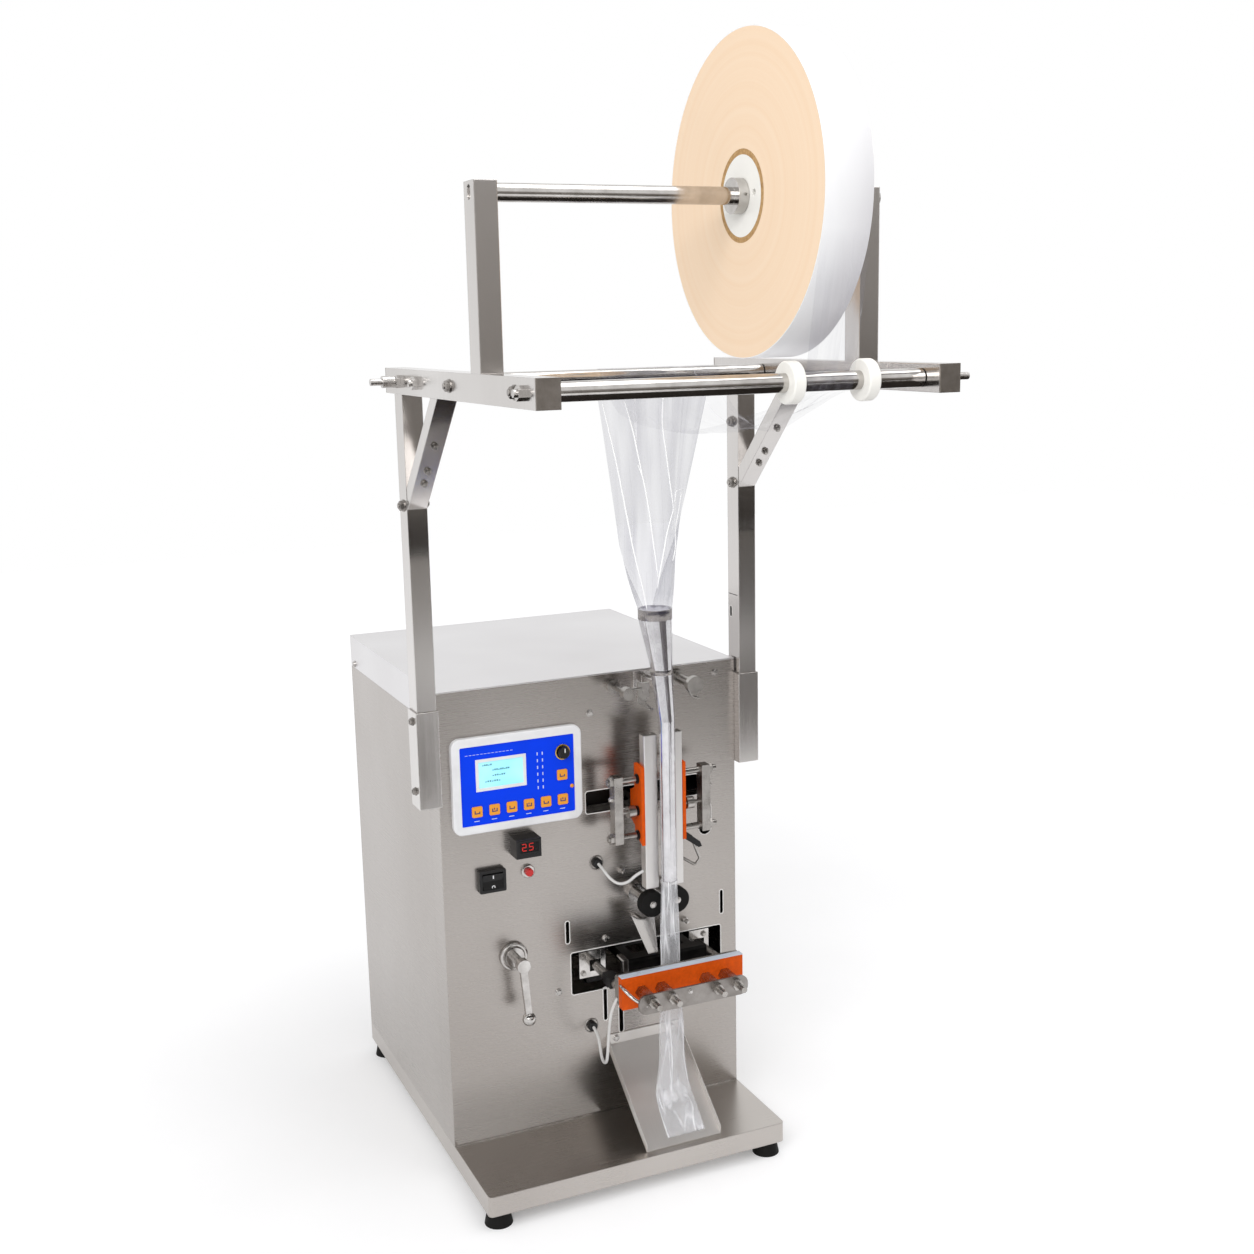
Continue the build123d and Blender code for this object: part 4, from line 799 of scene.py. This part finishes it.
def screwTree():
    tree = bpy.data.node_groups.new("screwHeads", 'GeometryNodeTree')
    kinds = [("Geometry", 'Geometry')] + [(name, 'Float') for name in screwLengths]
    for name, kind in kinds + [("Head Sides", 'Int'), ("Metal", 'Material'), ("SlotShade", 'Material')]:
        tree.interface.new_socket(name, in_out='INPUT', socket_type='NodeSocket' + kind)
    tree.interface.new_socket("Geometry", in_out='OUTPUT', socket_type='NodeSocketGeometry')
    given = addNode(tree, 'NodeGroupInput').outputs

    def made(kind, inputs, **settings):
        return addNode(tree, kind, inputs, **settings).outputs[0]

    def scaled(value, share):
        return combine(tree, 'MULTIPLY', value, share)

    def raised(mesh, height):
        # a solid is made about its middle, so it goes up by half its height and whatever is under it
        lift = made('ShaderNodeCombineXYZ', {"Z": height})
        return made('GeometryNodeTransform', {"Geometry": mesh, "Translation": lift})

    def joined(parts):
        node = addNode(tree, 'GeometryNodeJoinGeometry')
        for part in parts:
            tree.links.new(part, node.inputs[0])
        return node.outputs[0]

    base, sides, radius = given["Washer Height"], given["Head Sides"], given["Head Radius"]
    shank = scaled(given["Head Height"], 0.75)
    top = combine(tree, 'ADD', base, given["Head Height"])
    washer = made('GeometryNodeMeshCylinder', {"Vertices": 24, "Radius": given["Washer Radius"], "Depth": base})
    head = made('GeometryNodeMeshCylinder', {"Vertices": sides, "Radius": radius, "Depth": shank})
    crown = made('GeometryNodeMeshCone', {"Vertices": sides, "Radius Top": scaled(radius, 0.86),
                                          "Radius Bottom": radius, "Depth": scaled(given["Head Height"], 0.25)})
    tip = made('GeometryNodeMeshCylinder', {"Vertices": 16, "Radius": given["Tip Radius"],
                                            "Depth": given["Tip Height"]})
    parts = [raised(washer, scaled(base, 0.5)), raised(head, combine(tree, 'ADD', base, scaled(shank, 0.5))),
             raised(crown, combine(tree, 'ADD', base, shank)),
             raised(tip, combine(tree, 'ADD', top, scaled(given["Tip Height"], 0.5)))]
    # each slot is a flat dark plate on top of the head: painted shade standing in for the shadow in a real slot
    slotShade = []
    for across, up in (("Slot Length", "Slot Width"), ("Slot Width", "Slot Length")):
        span = made('ShaderNodeCombineXYZ', {"X": given[across], "Y": given[up], "Z": 0.0004})
        slotShade.append(raised(made('GeometryNodeMeshCube', {"Size": span}), top))
    flagged = made('GeometryNodeStoreNamedAttribute', {"Geometry": joined(reversed(slotShade)), "Name": "slotShade",
                                                       "Value": True}, data_type='BOOLEAN', domain='FACE')
    facing = made('GeometryNodeInputNamedAttribute', {"Name": "facing"}, data_type='FLOAT_VECTOR')
    turn = made('FunctionNodeAlignRotationToVector', {"Vector": facing}, axis='Z')
    placed = made('GeometryNodeInstanceOnPoints', {"Points": given["Geometry"], "Rotation": turn,
                                                   "Instance": joined((flagged, joined(reversed(parts))))})
    plain = made('GeometryNodeSetMaterial', {"Geometry": made('GeometryNodeRealizeInstances', {"Geometry": placed}),
                                             "Material": given["Metal"]})
    isSlotShade = made('GeometryNodeInputNamedAttribute', {"Name": "slotShade"}, data_type='BOOLEAN')
    done = made('GeometryNodeSetMaterial', {"Geometry": plain, "Selection": isSlotShade, "Material": given["SlotShade"]})
    addNode(tree, 'NodeGroupOutput', {0: done})
    return tree


screws = screwTree()


def screwSet(name, places, sizes, metal, body="machine"):
    # places are pairs of a point in mm and the way the head faces; sizes in mm
    mesh = bpy.data.meshes.new(name)
    mesh.from_pydata([tuple(v * mm for v in place) for place, direction in places], [], [])
    facing = mesh.attributes.new("facing", 'FLOAT_VECTOR', 'POINT')
    for value, (place, direction) in zip(facing.data, places):
        value.vector = direction
    piece = addPiece(name, mesh)
    modifier = piece.modifiers.new("screws", 'NODES')
    modifier.node_group = screws
    values = {"Metal": metal, "SlotShade": darkFillAndPaintedShade}
    values.update({key: value * mm if key != "Head Sides" else value for key, value in sizes.items()})
    for item in screws.interface.items_tree:
        if item.in_out == 'INPUT' and item.name in values:
            modifier[item.identifier] = values[item.name]
    settle(piece)
    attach(piece, body)
    return piece


def screwSizes(*values, sides=6):
    # washer, head and tip, each a radius and a height, then the slot's length and width
    return dict(zip(screwLengths, values), **{"Head Sides": sides})


panHead = screwSizes(5.0, 0.8, 3.8, 2.4, 2.6, 0.4, 5.5, 1.3, sides=20)
frameBolt = screwSizes(7.5, 1.2, 6.0, 4.6, 3.2, 1.2, 3.6, 1.2)
smallBolt = screwSizes(5.4, 1.0, 4.4, 3.0, 2.4, 0.8, 2.8, 1.0)
braceBolt = screwSizes(4.6, 1.0, 3.6, 3.0, 2.4, 0.8, 2.8, 1.0)
sealBolt = screwSizes(4.4, 1.0, 3.4, 3.0, 2.4, 0.8, 2.8, 1.0)
mountBolt = screwSizes(4.0, 1.0, 3.2, 2.2, 2.4, 0.8, 2.8, 1.0)
studBolt = screwSizes(4.2, 3.0, 3.2, 6.5, 1.8, 1.5, 2.4, 0.9)
plateBush = screwSizes(6.6, 1.6, 5.2, 1.2, 4.5, 0.5, 0.4, 0.4, sides=24)
hubScrew = screwSizes(4.6, 0.6, 3.6, 2.0, 2.0, 0.4, 3.4, 0.9, sides=20)
jawScrew = screwSizes(3.4, 0.6, 2.6, 2.0, 2.0, 0.4, 2.6, 0.9, sides=20)
front, left, right, back = (0, -1, 0), (-1, 0, 0), (1, 0, 0), (0, 1, 0)
slanted = (0, -0.7071, -0.7071)
sides = ((-1, left, right), (1, right, left))     # sign of X, the way out and the way in

screwSet("panelScrews", [((x, 20.0, z), front) for x, z in ((-2.4, 611.0), (180.8, 645.1), (12.5, 297.6),
                                                            (-57.1, 234.4))]
         + [((x, y, z), way) for y, z in ((415.3, 622.1), (70.0, 636.0)) for x, way in ((-210.0, left), (210.0, right))]
         + [((x, 437.0, 630.0), back) for x in (-150.0, 150.0)]
         + [((x, 18.5, 151.5), front) for x in (24.0, 107.0)], panHead, brightSteel)
screwSet("frameBolts", [((side * 237.0, y, z), out) for side, out, inside in sides
                        for y, z in ((-378.0, 1045.0), (-175.5, 1045.3))]
         + [((side * 237.0, 23.0, 897.0), out) for side, out, inside in sides]
         + [((side * 212.0, 23.5, z), inside) for side, out, inside in sides for z in (978.0, 898.0)],
         frameBolt, boltSteel)
screwSet("sleeveBolts", [((side * 239.3, 22.0, z), out) for side, out, inside in sides for z in (629.0, 539.0)],
         smallBolt, boltSteel)
screwSet("braceBolts", [((side * 224.5, y, 901.0 - y), slanted) for side in (-1, 1) for y in (-73.0, -42.0, -26.0)],
         braceBolt, blockSteel)
screwSet("studBolts", [((131.0, 20.0, 302.0), front), ((37.2, 20.0, 389.0), front)], studBolt, brightSteel)
screwSet("plateBushes", [((x, -26.0, z), way) for x, way in ((43.0, left), (107.0, right))
                         for z in (528.0, 485.0, 452.0)], plateBush, blackMoulding)
screwSet("sealBarScrews", [((7.0, -26.0, 505.0), left), ((145.0, -26.0, 505.0), right)], sealBolt, brightSteel)
screwSet("leftHubScrew", [((57.1, -38.0, 357.0), front)], hubScrew, brightSteel, "pull_left")
screwSet("rightHubScrew", [((92.9, -38.0, 357.0), front)], hubScrew, brightSteel, "pull_right")
screwSet("jawScrews", [((69.6, -120.0, 266.4), front)], jawScrew, brightSteel, "jaw")
screwSet("mountBolts", [((x, 21.0, z), front) for x, z in ((-20.5, 276.0), (-20.5, 253.0), (160.0, 276.0))],
         mountBolt, blockSteel)
print("screws ready")


# thin pale rims round the openings, a painted highlight along their cut edges, and small trims

panelRims = {
    "face": 20.0, "proud": 0.35, "wide": 1.3, "corner": 3.0,
    "openings": ((-38.0, 186.0, 226.0, 285.0), (-11.0, 66.0, 475.0, 505.0), (84.0, 153.0, 478.0, 507.0),
                 (155.0, 173.0, 420.0, 466.0), (-44.5, -39.5, 300.0, 331.0), (185.8, 190.2, 301.0, 335.0),
                 (7.5, 12.5, 180.0, 227.0), (30.0, 36.0, 158.0, 198.0)),
}


def roundedLoop(low, high, corner, grow):
    # points of a rounded rectangle in its own plane, grown outwards
    (a0, b0), (a1, b1) = low, high
    corner = min(corner, (a1 - a0) / 2, (b1 - b0) / 2)
    centres = ((a1 - corner, b1 - corner), (a0 + corner, b1 - corner), (a0 + corner, b0 + corner),
               (a1 - corner, b0 + corner))
    points = []
    for quarter, (a, b) in enumerate(centres):
        for n in range(7):
            turn = math.radians(90 * quarter + 15 * n)
            points.append((a + (corner + grow) * math.cos(turn), b + (corner + grow) * math.sin(turn)))
    return points


def rimsPiece(name, openings, outline, lift, material):
    # outline gives growth and height of the rim's section; lift turns (across, up, height) to a place in mm
    build = bmesh.new()
    for low, high, corner in openings:
        loops = [[build.verts.new(Vector(lift(a, b, height)) * mm) for a, b in roundedLoop(low, high, corner, grow)]
                 for grow, height in outline]
        joinRings(build, loops + loops[:1], smooth=False)
    return addPiece(name, meshOf(name, build, merge=True), (material,), "machine")


def makeRims(rims):
    wide, proud, face = rims["wide"], rims["proud"], rims["face"]
    section = ((0.0, -0.6), (0.0, proud * 0.6), (0.35, proud), (wide - 0.35, proud), (wide, 0.0))
    openings = [((x0, z0), (x1, z1), rims["corner"] if min(x1 - x0, z1 - z0) > 25 else 20.0)
                for x0, x1, z0, z1 in rims["openings"]]
    rimsPiece("panelRims", openings, section, lambda a, b, h: (a, face - h, b), edgeHighlight)
    # oblong hole in the inner face of the right upright: a bright rim, a painted highlight, round a dark floor of
    # painted shade
    hole = [((27.5, 717.0), (32.5, 731.0), 9.0)]
    sections = (("uprightHoleRim", ((0.0, 0.0), (0.0, 0.3), (1.1, 0.3), (1.1, 0.0)), edgeHighlight, "white_plastic"),
                ("uprightHoleFloor", ((-2.4, 0.0), (-2.4, 0.15), (0.0, 0.15), (0.0, 0.0)), darkFillAndPaintedShade, "black_plastic"))
    for name, outline, material, slotName in sections:
        rimsPiece(name, hole, outline, lambda a, b, h: (212.0 - h, a, b), material)


jawSideBar = {"radius": 2.3, "stepsBetween": 6, "sides": 12,
              "route": ((-12.0, -84.0, 276.0), (-11.5, -95.0, 274.0), (-5.0, -103.0, 266.0),
                        (2.0, -112.0, 261.0), (9.7, -119.0, 257.5))}


def makeSideBar(bar):
    # bent rod from the board's end to the bolt plate
    build = bmesh.new()
    steps, sides, route = bar["stepsBetween"], bar["sides"], bar["route"]
    line = [Vector(linePoint(route, n / steps)) for n in range(steps * (len(route) - 1) + 1)]
    rings = []
    for n, place in enumerate(line):
        along = (line[min(n + 1, len(line) - 1)] - line[max(n - 1, 0)]).normalized()
        side = along.cross(Vector((0, 0, 1))).normalized()
        rise = side.cross(along)
        turns = [2 * math.pi * s / sides for s in range(sides)]
        rings.append([build.verts.new((place + (side * math.cos(a) + rise * math.sin(a)) * bar["radius"]) * mm)
                      for a in turns])
    joinRings(build, rings)
    build.faces.new(rings[0])
    build.faces.new(rings[-1])
    return addPiece("jawSideBar", meshOf("jawSideBar", build), (brightSteel,), "jaw")


def plateWithHole(x0, x1, z0, z1, y0, y1, hole):
    # four boxes that leave a square gap for a rod
    hx, hz, half = hole
    return [(x0, hx - half, y0, y1, z0, z1), (hx + half, x1, y0, y1, z0, z1),
            (hx - half, hx + half, y0, y1, z0, hz - half), (hx - half, hx + half, y0, y1, hz + half, z1)]


def makeTrims():
    boxesPiece("jawMounts", plateWithHole(-26.0, 12.0, 246.0, 283.0, 21.0, 24.0, (-3.0, 262.0, 8.0))
               + plateWithHole(138.0, 168.0, 246.0, 283.0, 21.0, 24.0, (153.0, 262.0, 8.0)),
               brightSteel)
    boxesPiece("jawTape", [(-12.5, 162.5, -88.3, -78.0, 286.4, 287.7)], glassTape, "jaw")
    boxesPiece("jawClamp", [(-10.0, 4.0, -45.0, -20.0, 255.0, 269.0)], blackMoulding, "jaw")
    boxesPiece("trayBead", [(-209.5, 209.5, 18.9, 20.0, 47.0, 48.4)], brightSteel)
    boxesPiece("jointLine", [(211.85, 212.0, 12.0, 36.0, 747.4, 748.2)], darkFillAndPaintedShade)
    boxesPiece("rearJawClip", [(10.0, 17.0, -43.0, -22.0, 287.8, 290.6), (10.0, 17.0, -43.6, -41.9, 262.0, 290.6)],
               brightSteel)
    for name, place in (("channelGrommetRing", (2.0, 20.0, 406.0)), ("jawGrommetRing", (-11.0, 20.0, 177.0))):
        lathePiece(name, ((8.4, 0.0), (10.2, 0.0), (10.0, 0.9), (8.6, 0.9)), place, front, blockSteel)
    lathePiece("leverFlange", ((13.2, 0.0), (19.0, 0.0), (19.0, 4.5), (17.5, 6.0), (13.2, 6.0)),
               (-119.5, 20.0, 298.5), front, brightSteel)
    # clamp bands that hold the film on the funnel
    for name, y, outline in (("funnelBand", -20.0, ((21.3, 735.0), (22.1, 735.5), (22.1, 748.0), (21.3, 748.6))),
                             ("neckBand", -37.0, ((13.3, 665.5), (14.0, 666.0), (14.0, 672.4), (13.3, 672.8)))):
        lathePiece(name, outline, (75.0, y, 0.0), (0, 0, 1), bandSteel)


makeRims(panelRims)
makeSideBar(jawSideBar)
makeTrims()
print("trims ready")


# controls on the panel

keypad = {"faceY": 13.5, "display": (-163.0, -95.0, 529.0, 571.0), "pocketY": 15.0, "keyX": -163.0,
          "keyPitch": 23.4, "keyZ": 503.0, "keyRise": 33.0, "keyY": 12.0, "knob": (-44.3, 566.0),
          "rim": 4.0, "displayRows": ((0.06, 0.30, 5), (0.30, 0.72, 9), (0.30, 0.62, 6), (0.12, 0.50, 7))}


def makeDisplay(pad):
    x0, x1, z0, z1 = pad["display"]
    y, rim = pad["pocketY"], pad["rim"]
    a0, a1, b0, b1 = x0 + rim, x1 - rim, z0 + rim, z1 - rim
    boxesPiece("displayRim", [(x0, a0, y - 2.2, y, z0, z1), (a1, x1, y - 2.2, y, z0, z1),
                              (a0, a1, y - 2.2, y, z0, b0), (a0, a1, y - 2.2, y, b1, z1)],
               whiteMoulding)
    boxesPiece("displayWindow", [(a0, a1, y - 0.9, y, b0, b1)], lcd)
    marks = []
    for row, (start, end, count) in enumerate(pad["displayRows"]):
        z = z1 - 9.5 - row * 7.2
        for n in range(count):
            x = x0 + 6 + between(start, end, n / count) * 56
            marks.append((x, x + 1.9, y - 1.15, y - 0.9, z, z + (1.9 if n % 3 else 1.1)))
    boxesPiece("displayMarks", marks, lcdInk)


def makeKeyPrint(pad):
    marks = []
    y0, y1 = pad["keyY"] - 0.25, pad["keyY"]
    for n in range(7):
        column, row = (n, 0) if n < 6 else (5, 1)
        x = pad["keyX"] + column * pad["keyPitch"]
        z = pad["keyZ"] + row * pad["keyRise"]
        marks += [(x - 3.6, x + 3.6, y0, y1, z - 2.6, z - 1.4), (x - 3.6, x - 2.4, y0, y1, z - 1.4, z + 1.8),
                  (x + 2.4, x + 3.6, y0, y1, z - 1.4, z + (1.8 if n % 2 else 0.4))]
        if n % 2:
            marks.append((x - 1.0, x + 0.2, y0, y1, z + 0.2, z + 2.4))
    boxesPiece("keyPrint", marks, keyInk)
    # a line of strokes on top, two columns of lamps' marks and a stroke under each key
    y0, y1 = pad["faceY"] - 0.2, pad["faceY"]
    strokes = [(-176.0 + 5 * n, -172.5 + 5 * n, y0, y1, 577.5, 578.1) for n in range(13)]
    strokes += [(-80.0 + 7 * column, -78.6 + 7 * column, y0, y1, 521.0 + 9 * row, 525.0 + 9 * row)
                for column in range(2) for row in range(6)]
    strokes += [(-167.0 + pad["keyPitch"] * n, -160.0 + pad["keyPitch"] * n, y0, y1, 490.0, 491.0) for n in range(6)]
    boxesPiece("facePrint", strokes, paleInk)


def makeKnobTrim(pad):
    x, z = pad["knob"]
    y = pad["faceY"]
    lathePiece("knobRing", ((8.0, 0.0), (10.4, 0.0), (10.4, 1.1), (9.8, 1.5), (8.0, 1.5)), (x, y, z), front,
               gilt)
    boxesPiece("knobMark", [(x - 0.6, x + 0.6, y - 9.35, y - 9.0, z + 1.0, z + 6.2)], whiteMoulding)
    lathePiece("signalLamp", ((0.0, 0.0), (2.6, 0.0), (2.6, 0.6), (1.6, 1.5), (0.0, 1.9)), (-32.5, y, 519.0), front,
               orangeKey, steps=20)


temperature = {"figures": "25", "x": -110.5, "z": 446.8, "pitch": 9.5, "wide": 6.0, "high": 10.0, "stroke": 1.1,
               "strokes": {"2": "abged", "5": "afgcd"}}


def makeDigits(unit):
    # two plain figures with seven strokes, and a row of small keys under them
    w, h, t, z = unit["wide"], unit["high"], unit["stroke"], unit["z"]
    strokes = []
    for index, figure in enumerate(unit["figures"]):
        x = unit["x"] + index * unit["pitch"]
        boxes = {"a": (x, x + w, z + h - t, z + h), "g": (x, x + w, z + h / 2 - t / 2, z + h / 2 + t / 2),
                 "d": (x, x + w, z, z + t), "f": (x, x + t, z + h / 2, z + h),
                 "b": (x + w - t, x + w, z + h / 2, z + h), "e": (x, x + t, z, z + h / 2),
                 "c": (x + w - t, x + w, z, z + h / 2)}
        for key in unit["strokes"][figure]:
            x0, x1, z0, z1 = boxes[key]
            strokes.append((x0, x1, -4.3, -3.8, z0, z1))
    boxesPiece("temperatureDigits", strokes, redDigit)
    boxesPiece("unitWindow", [(-113.0, -89.0, -3.8, -3.7, 446.0, 457.5)], darkFillAndPaintedShade)
    keys = [(-112.0 + 7 * n, -108.0 + 7 * n, -5.5, -5.0, 439.2, 442.0) for n in range(4)]
    boxesPiece("unitKeys", keys, blackMoulding)


def makeRockerMarks():
    # plain on and off marks on the key's two halves
    boxesPiece("rockerOnMark", [(-146.6, -145.4, 9.2, 10.1, 412.0, 416.5)], whiteMoulding, "rocker")
    lathePiece("rockerOffMark", ((1.4, 0.0), (2.4, 0.0), (2.4, 0.5), (1.4, 0.5)), (-146.0, 10.0, 400.5), front,
               whiteMoulding, "rocker", 24)


makeDisplay(keypad)
makeKeyPrint(keypad)
makeKnobTrim(keypad)
makeDigits(temperature)
makeRockerMarks()
print("controls ready")


# floor, lamps, dark boards that give the metal its bands, and a white card that paints a bright reflection at the
# panel's foot

studio = {
    "floor": "#F2F2F3", "nearGlow": 0.19, "farGlow": 0.46, "worldLight": 0.62,
    "lamps": {"keyLamp": ((-2.2, -2.6, 2.9), (0, 0, 0.7), (2.2, 2.2), 70.0),
              "topLamp": ((0.8, -0.6, 3.6), (0, 0, 0.7), (2.0, 2.0), 34.0)},
    # dark cards that only reflections see, as a photographer stands them round bright metal
    "cards": {"frontCard": (((1.3, -3.3, -0.4), (3.6, -2.6, -0.4), (3.6, -2.6, 0.3), (1.3, -3.3, 0.3)), "#4A4642"),
              "upperFrontCard": (((1.3, -3.3, 0.3), (3.6, -2.6, 0.3), (3.6, -2.6, 1.0), (1.3, -3.3, 1.0)),
                                 "#78726C"),
              "nearFrontCard": (((0.2, -3.3, 0.0), (1.3, -3.3, 0.0), (1.3, -3.3, 1.0), (0.2, -3.3, 1.0)),
                                "#99948E"),
              "highFrontCard": (((0.2, -3.3, 1.0), (3.6, -3.3, 1.0), (3.6, -3.3, 1.7), (0.2, -3.3, 1.7)),
                                "#B8B3AE"),
              "floorCard": (((1.0, -2.7, 0.01), (2.4, -2.7, 0.01), (2.4, -1.6, 0.01), (1.0, -1.6, 0.01)),
                            "#5A544F"),
              # painted reflection: a white card on the tray top, seen only in reflections, brightens the panel's foot
              "trayReflectionCard": (((-0.205, -0.11, 0.0485), (0.0, -0.11, 0.0485), (0.0, 0.0185, 0.0485),
                            (-0.205, 0.0185, 0.0485)), "#FFFFFF"),
              "sleeveCard": (((0.03, -1.4, 0.01), (0.31, -1.4, 0.01), (0.70, -2.8, 0.01), (0.38, -2.8, 0.01)),
                             "#57514B"),
              "overheadCard": (((-2.5, -1.9, 3.4), (2.5, -1.9, 3.4), (2.5, -1.5, 3.4), (-2.5, -1.5, 3.4)),
                               "#1A1918"),
              "underRollerCard": (((-1.0, -0.67, 0.82), (1.4, -0.67, 0.82), (1.4, -0.09, 0.82), (-1.0, -0.09, 0.82)),
                                  "#35312E")},
}


def seenRays(tree):
    # 1 for rays that end in the picture as they are, 0 for those that only bring light
    path = addNode(tree, 'ShaderNodeLightPath').outputs
    seen = combine(tree, 'MAXIMUM', path["Is Camera Ray"], path["Is Glossy Ray"])
    return combine(tree, 'MAXIMUM', seen, path["Is Transmission Ray"])


def makeFloor():
    mesh = bpy.data.meshes.new("floor")
    mesh.from_pydata([(-6, -6, 0), (6, -6, 0), (6, 6, 0), (-6, 6, 0)], [], [(0, 1, 2, 3)])
    material, tree, shader, place = newMaterial("paintedFloor", Roughness=0.9, Specular_IOR_Level=0.0)
    shade = noise(tree, place, 3, 2.0)
    feed(tree, shader, {"Base Color": mixColours(tree, spreadTo(tree, shade), "#EEEEEF", studio["floor"])})
    seen = seenRays(tree)
    reach = addNode(tree, 'ShaderNodeVectorMath', {0: place}, operation='LENGTH').outputs["Value"]
    glow = spreadTo(tree, reach, studio["nearGlow"], studio["farGlow"], 0.7, 3.2)    # the lamps fade outwards
    shader.inputs["Emission Color"].default_value = (1, 1, 1, 1)
    feed(tree, shader, {"Emission Strength": combine(tree, 'MULTIPLY', seen, glow)})
    addPiece("floor", mesh, (material,))


def makeWorld():
    world = bpy.data.worlds.new("studioWorld")
    bpy.context.scene.world = world
    world.use_nodes = True
    tree = world.node_tree
    tree.nodes.clear()
    seen = seenRays(tree)
    strength = addNode(tree, 'ShaderNodeMapRange', {"Value": seen, "To Min": studio["worldLight"], "To Max": 1.0})
    shade = addNode(tree, 'ShaderNodeBackground', {"Color": (1, 1, 1, 1), "Strength": strength.outputs[0]})
    addNode(tree, 'ShaderNodeOutputWorld', {"Surface": shade.outputs[0]})


def makeLamp(name, place, target, size, power):
    data = bpy.data.lights.new(name, 'AREA')
    data.shape = 'RECTANGLE'
    data.size, data.size_y = size
    data.energy = power
    lamp = bpy.data.objects.new(name, data)
    aim = (Vector(target) - Vector(place)).to_track_quat('-Z', 'Y').to_matrix().to_4x4()
    lamp.matrix_world = Matrix.Translation(place) @ aim
    collection.objects.link(lamp)


def makeCard(name, corners, tone):
    mesh = bpy.data.meshes.new(name)
    mesh.from_pydata(corners, [], [(0, 1, 2, 3)])
    material, tree, shader, place = newMaterial(name + "Cloth", Roughness=1.0, Specular_IOR_Level=0.0)
    weave = noise(tree, place, 4, 2.0)
    feed(tree, shader, {"Base Color": mixColours(tree, spreadTo(tree, weave), dimmed(tone, 0.8), tone)})
    if name == "trayReflectionCard":
        # lies on the tray, so it is seen only from above; it paints a bright reflection of the tray into the panel's
        # foot
        under = addNode(tree, 'ShaderNodeNewGeometry').outputs["Backfacing"]
        tree.links.new(combine(tree, 'SUBTRACT', 1.0, under), shader.inputs["Alpha"])
    piece = addPiece(name, mesh, (material,))
    for setting in ("visible_camera", "visible_diffuse", "visible_shadow", "visible_transmission"):
        setattr(piece, setting, False)


makeFloor()
makeWorld()
for name, settings in studio["lamps"].items():
    makeLamp(name, *settings)
for name, settings in studio["cards"].items():
    makeCard(name, *settings)
print("studio ready")

scene = bpy.context.scene
scene.view_settings.view_transform = 'Standard'
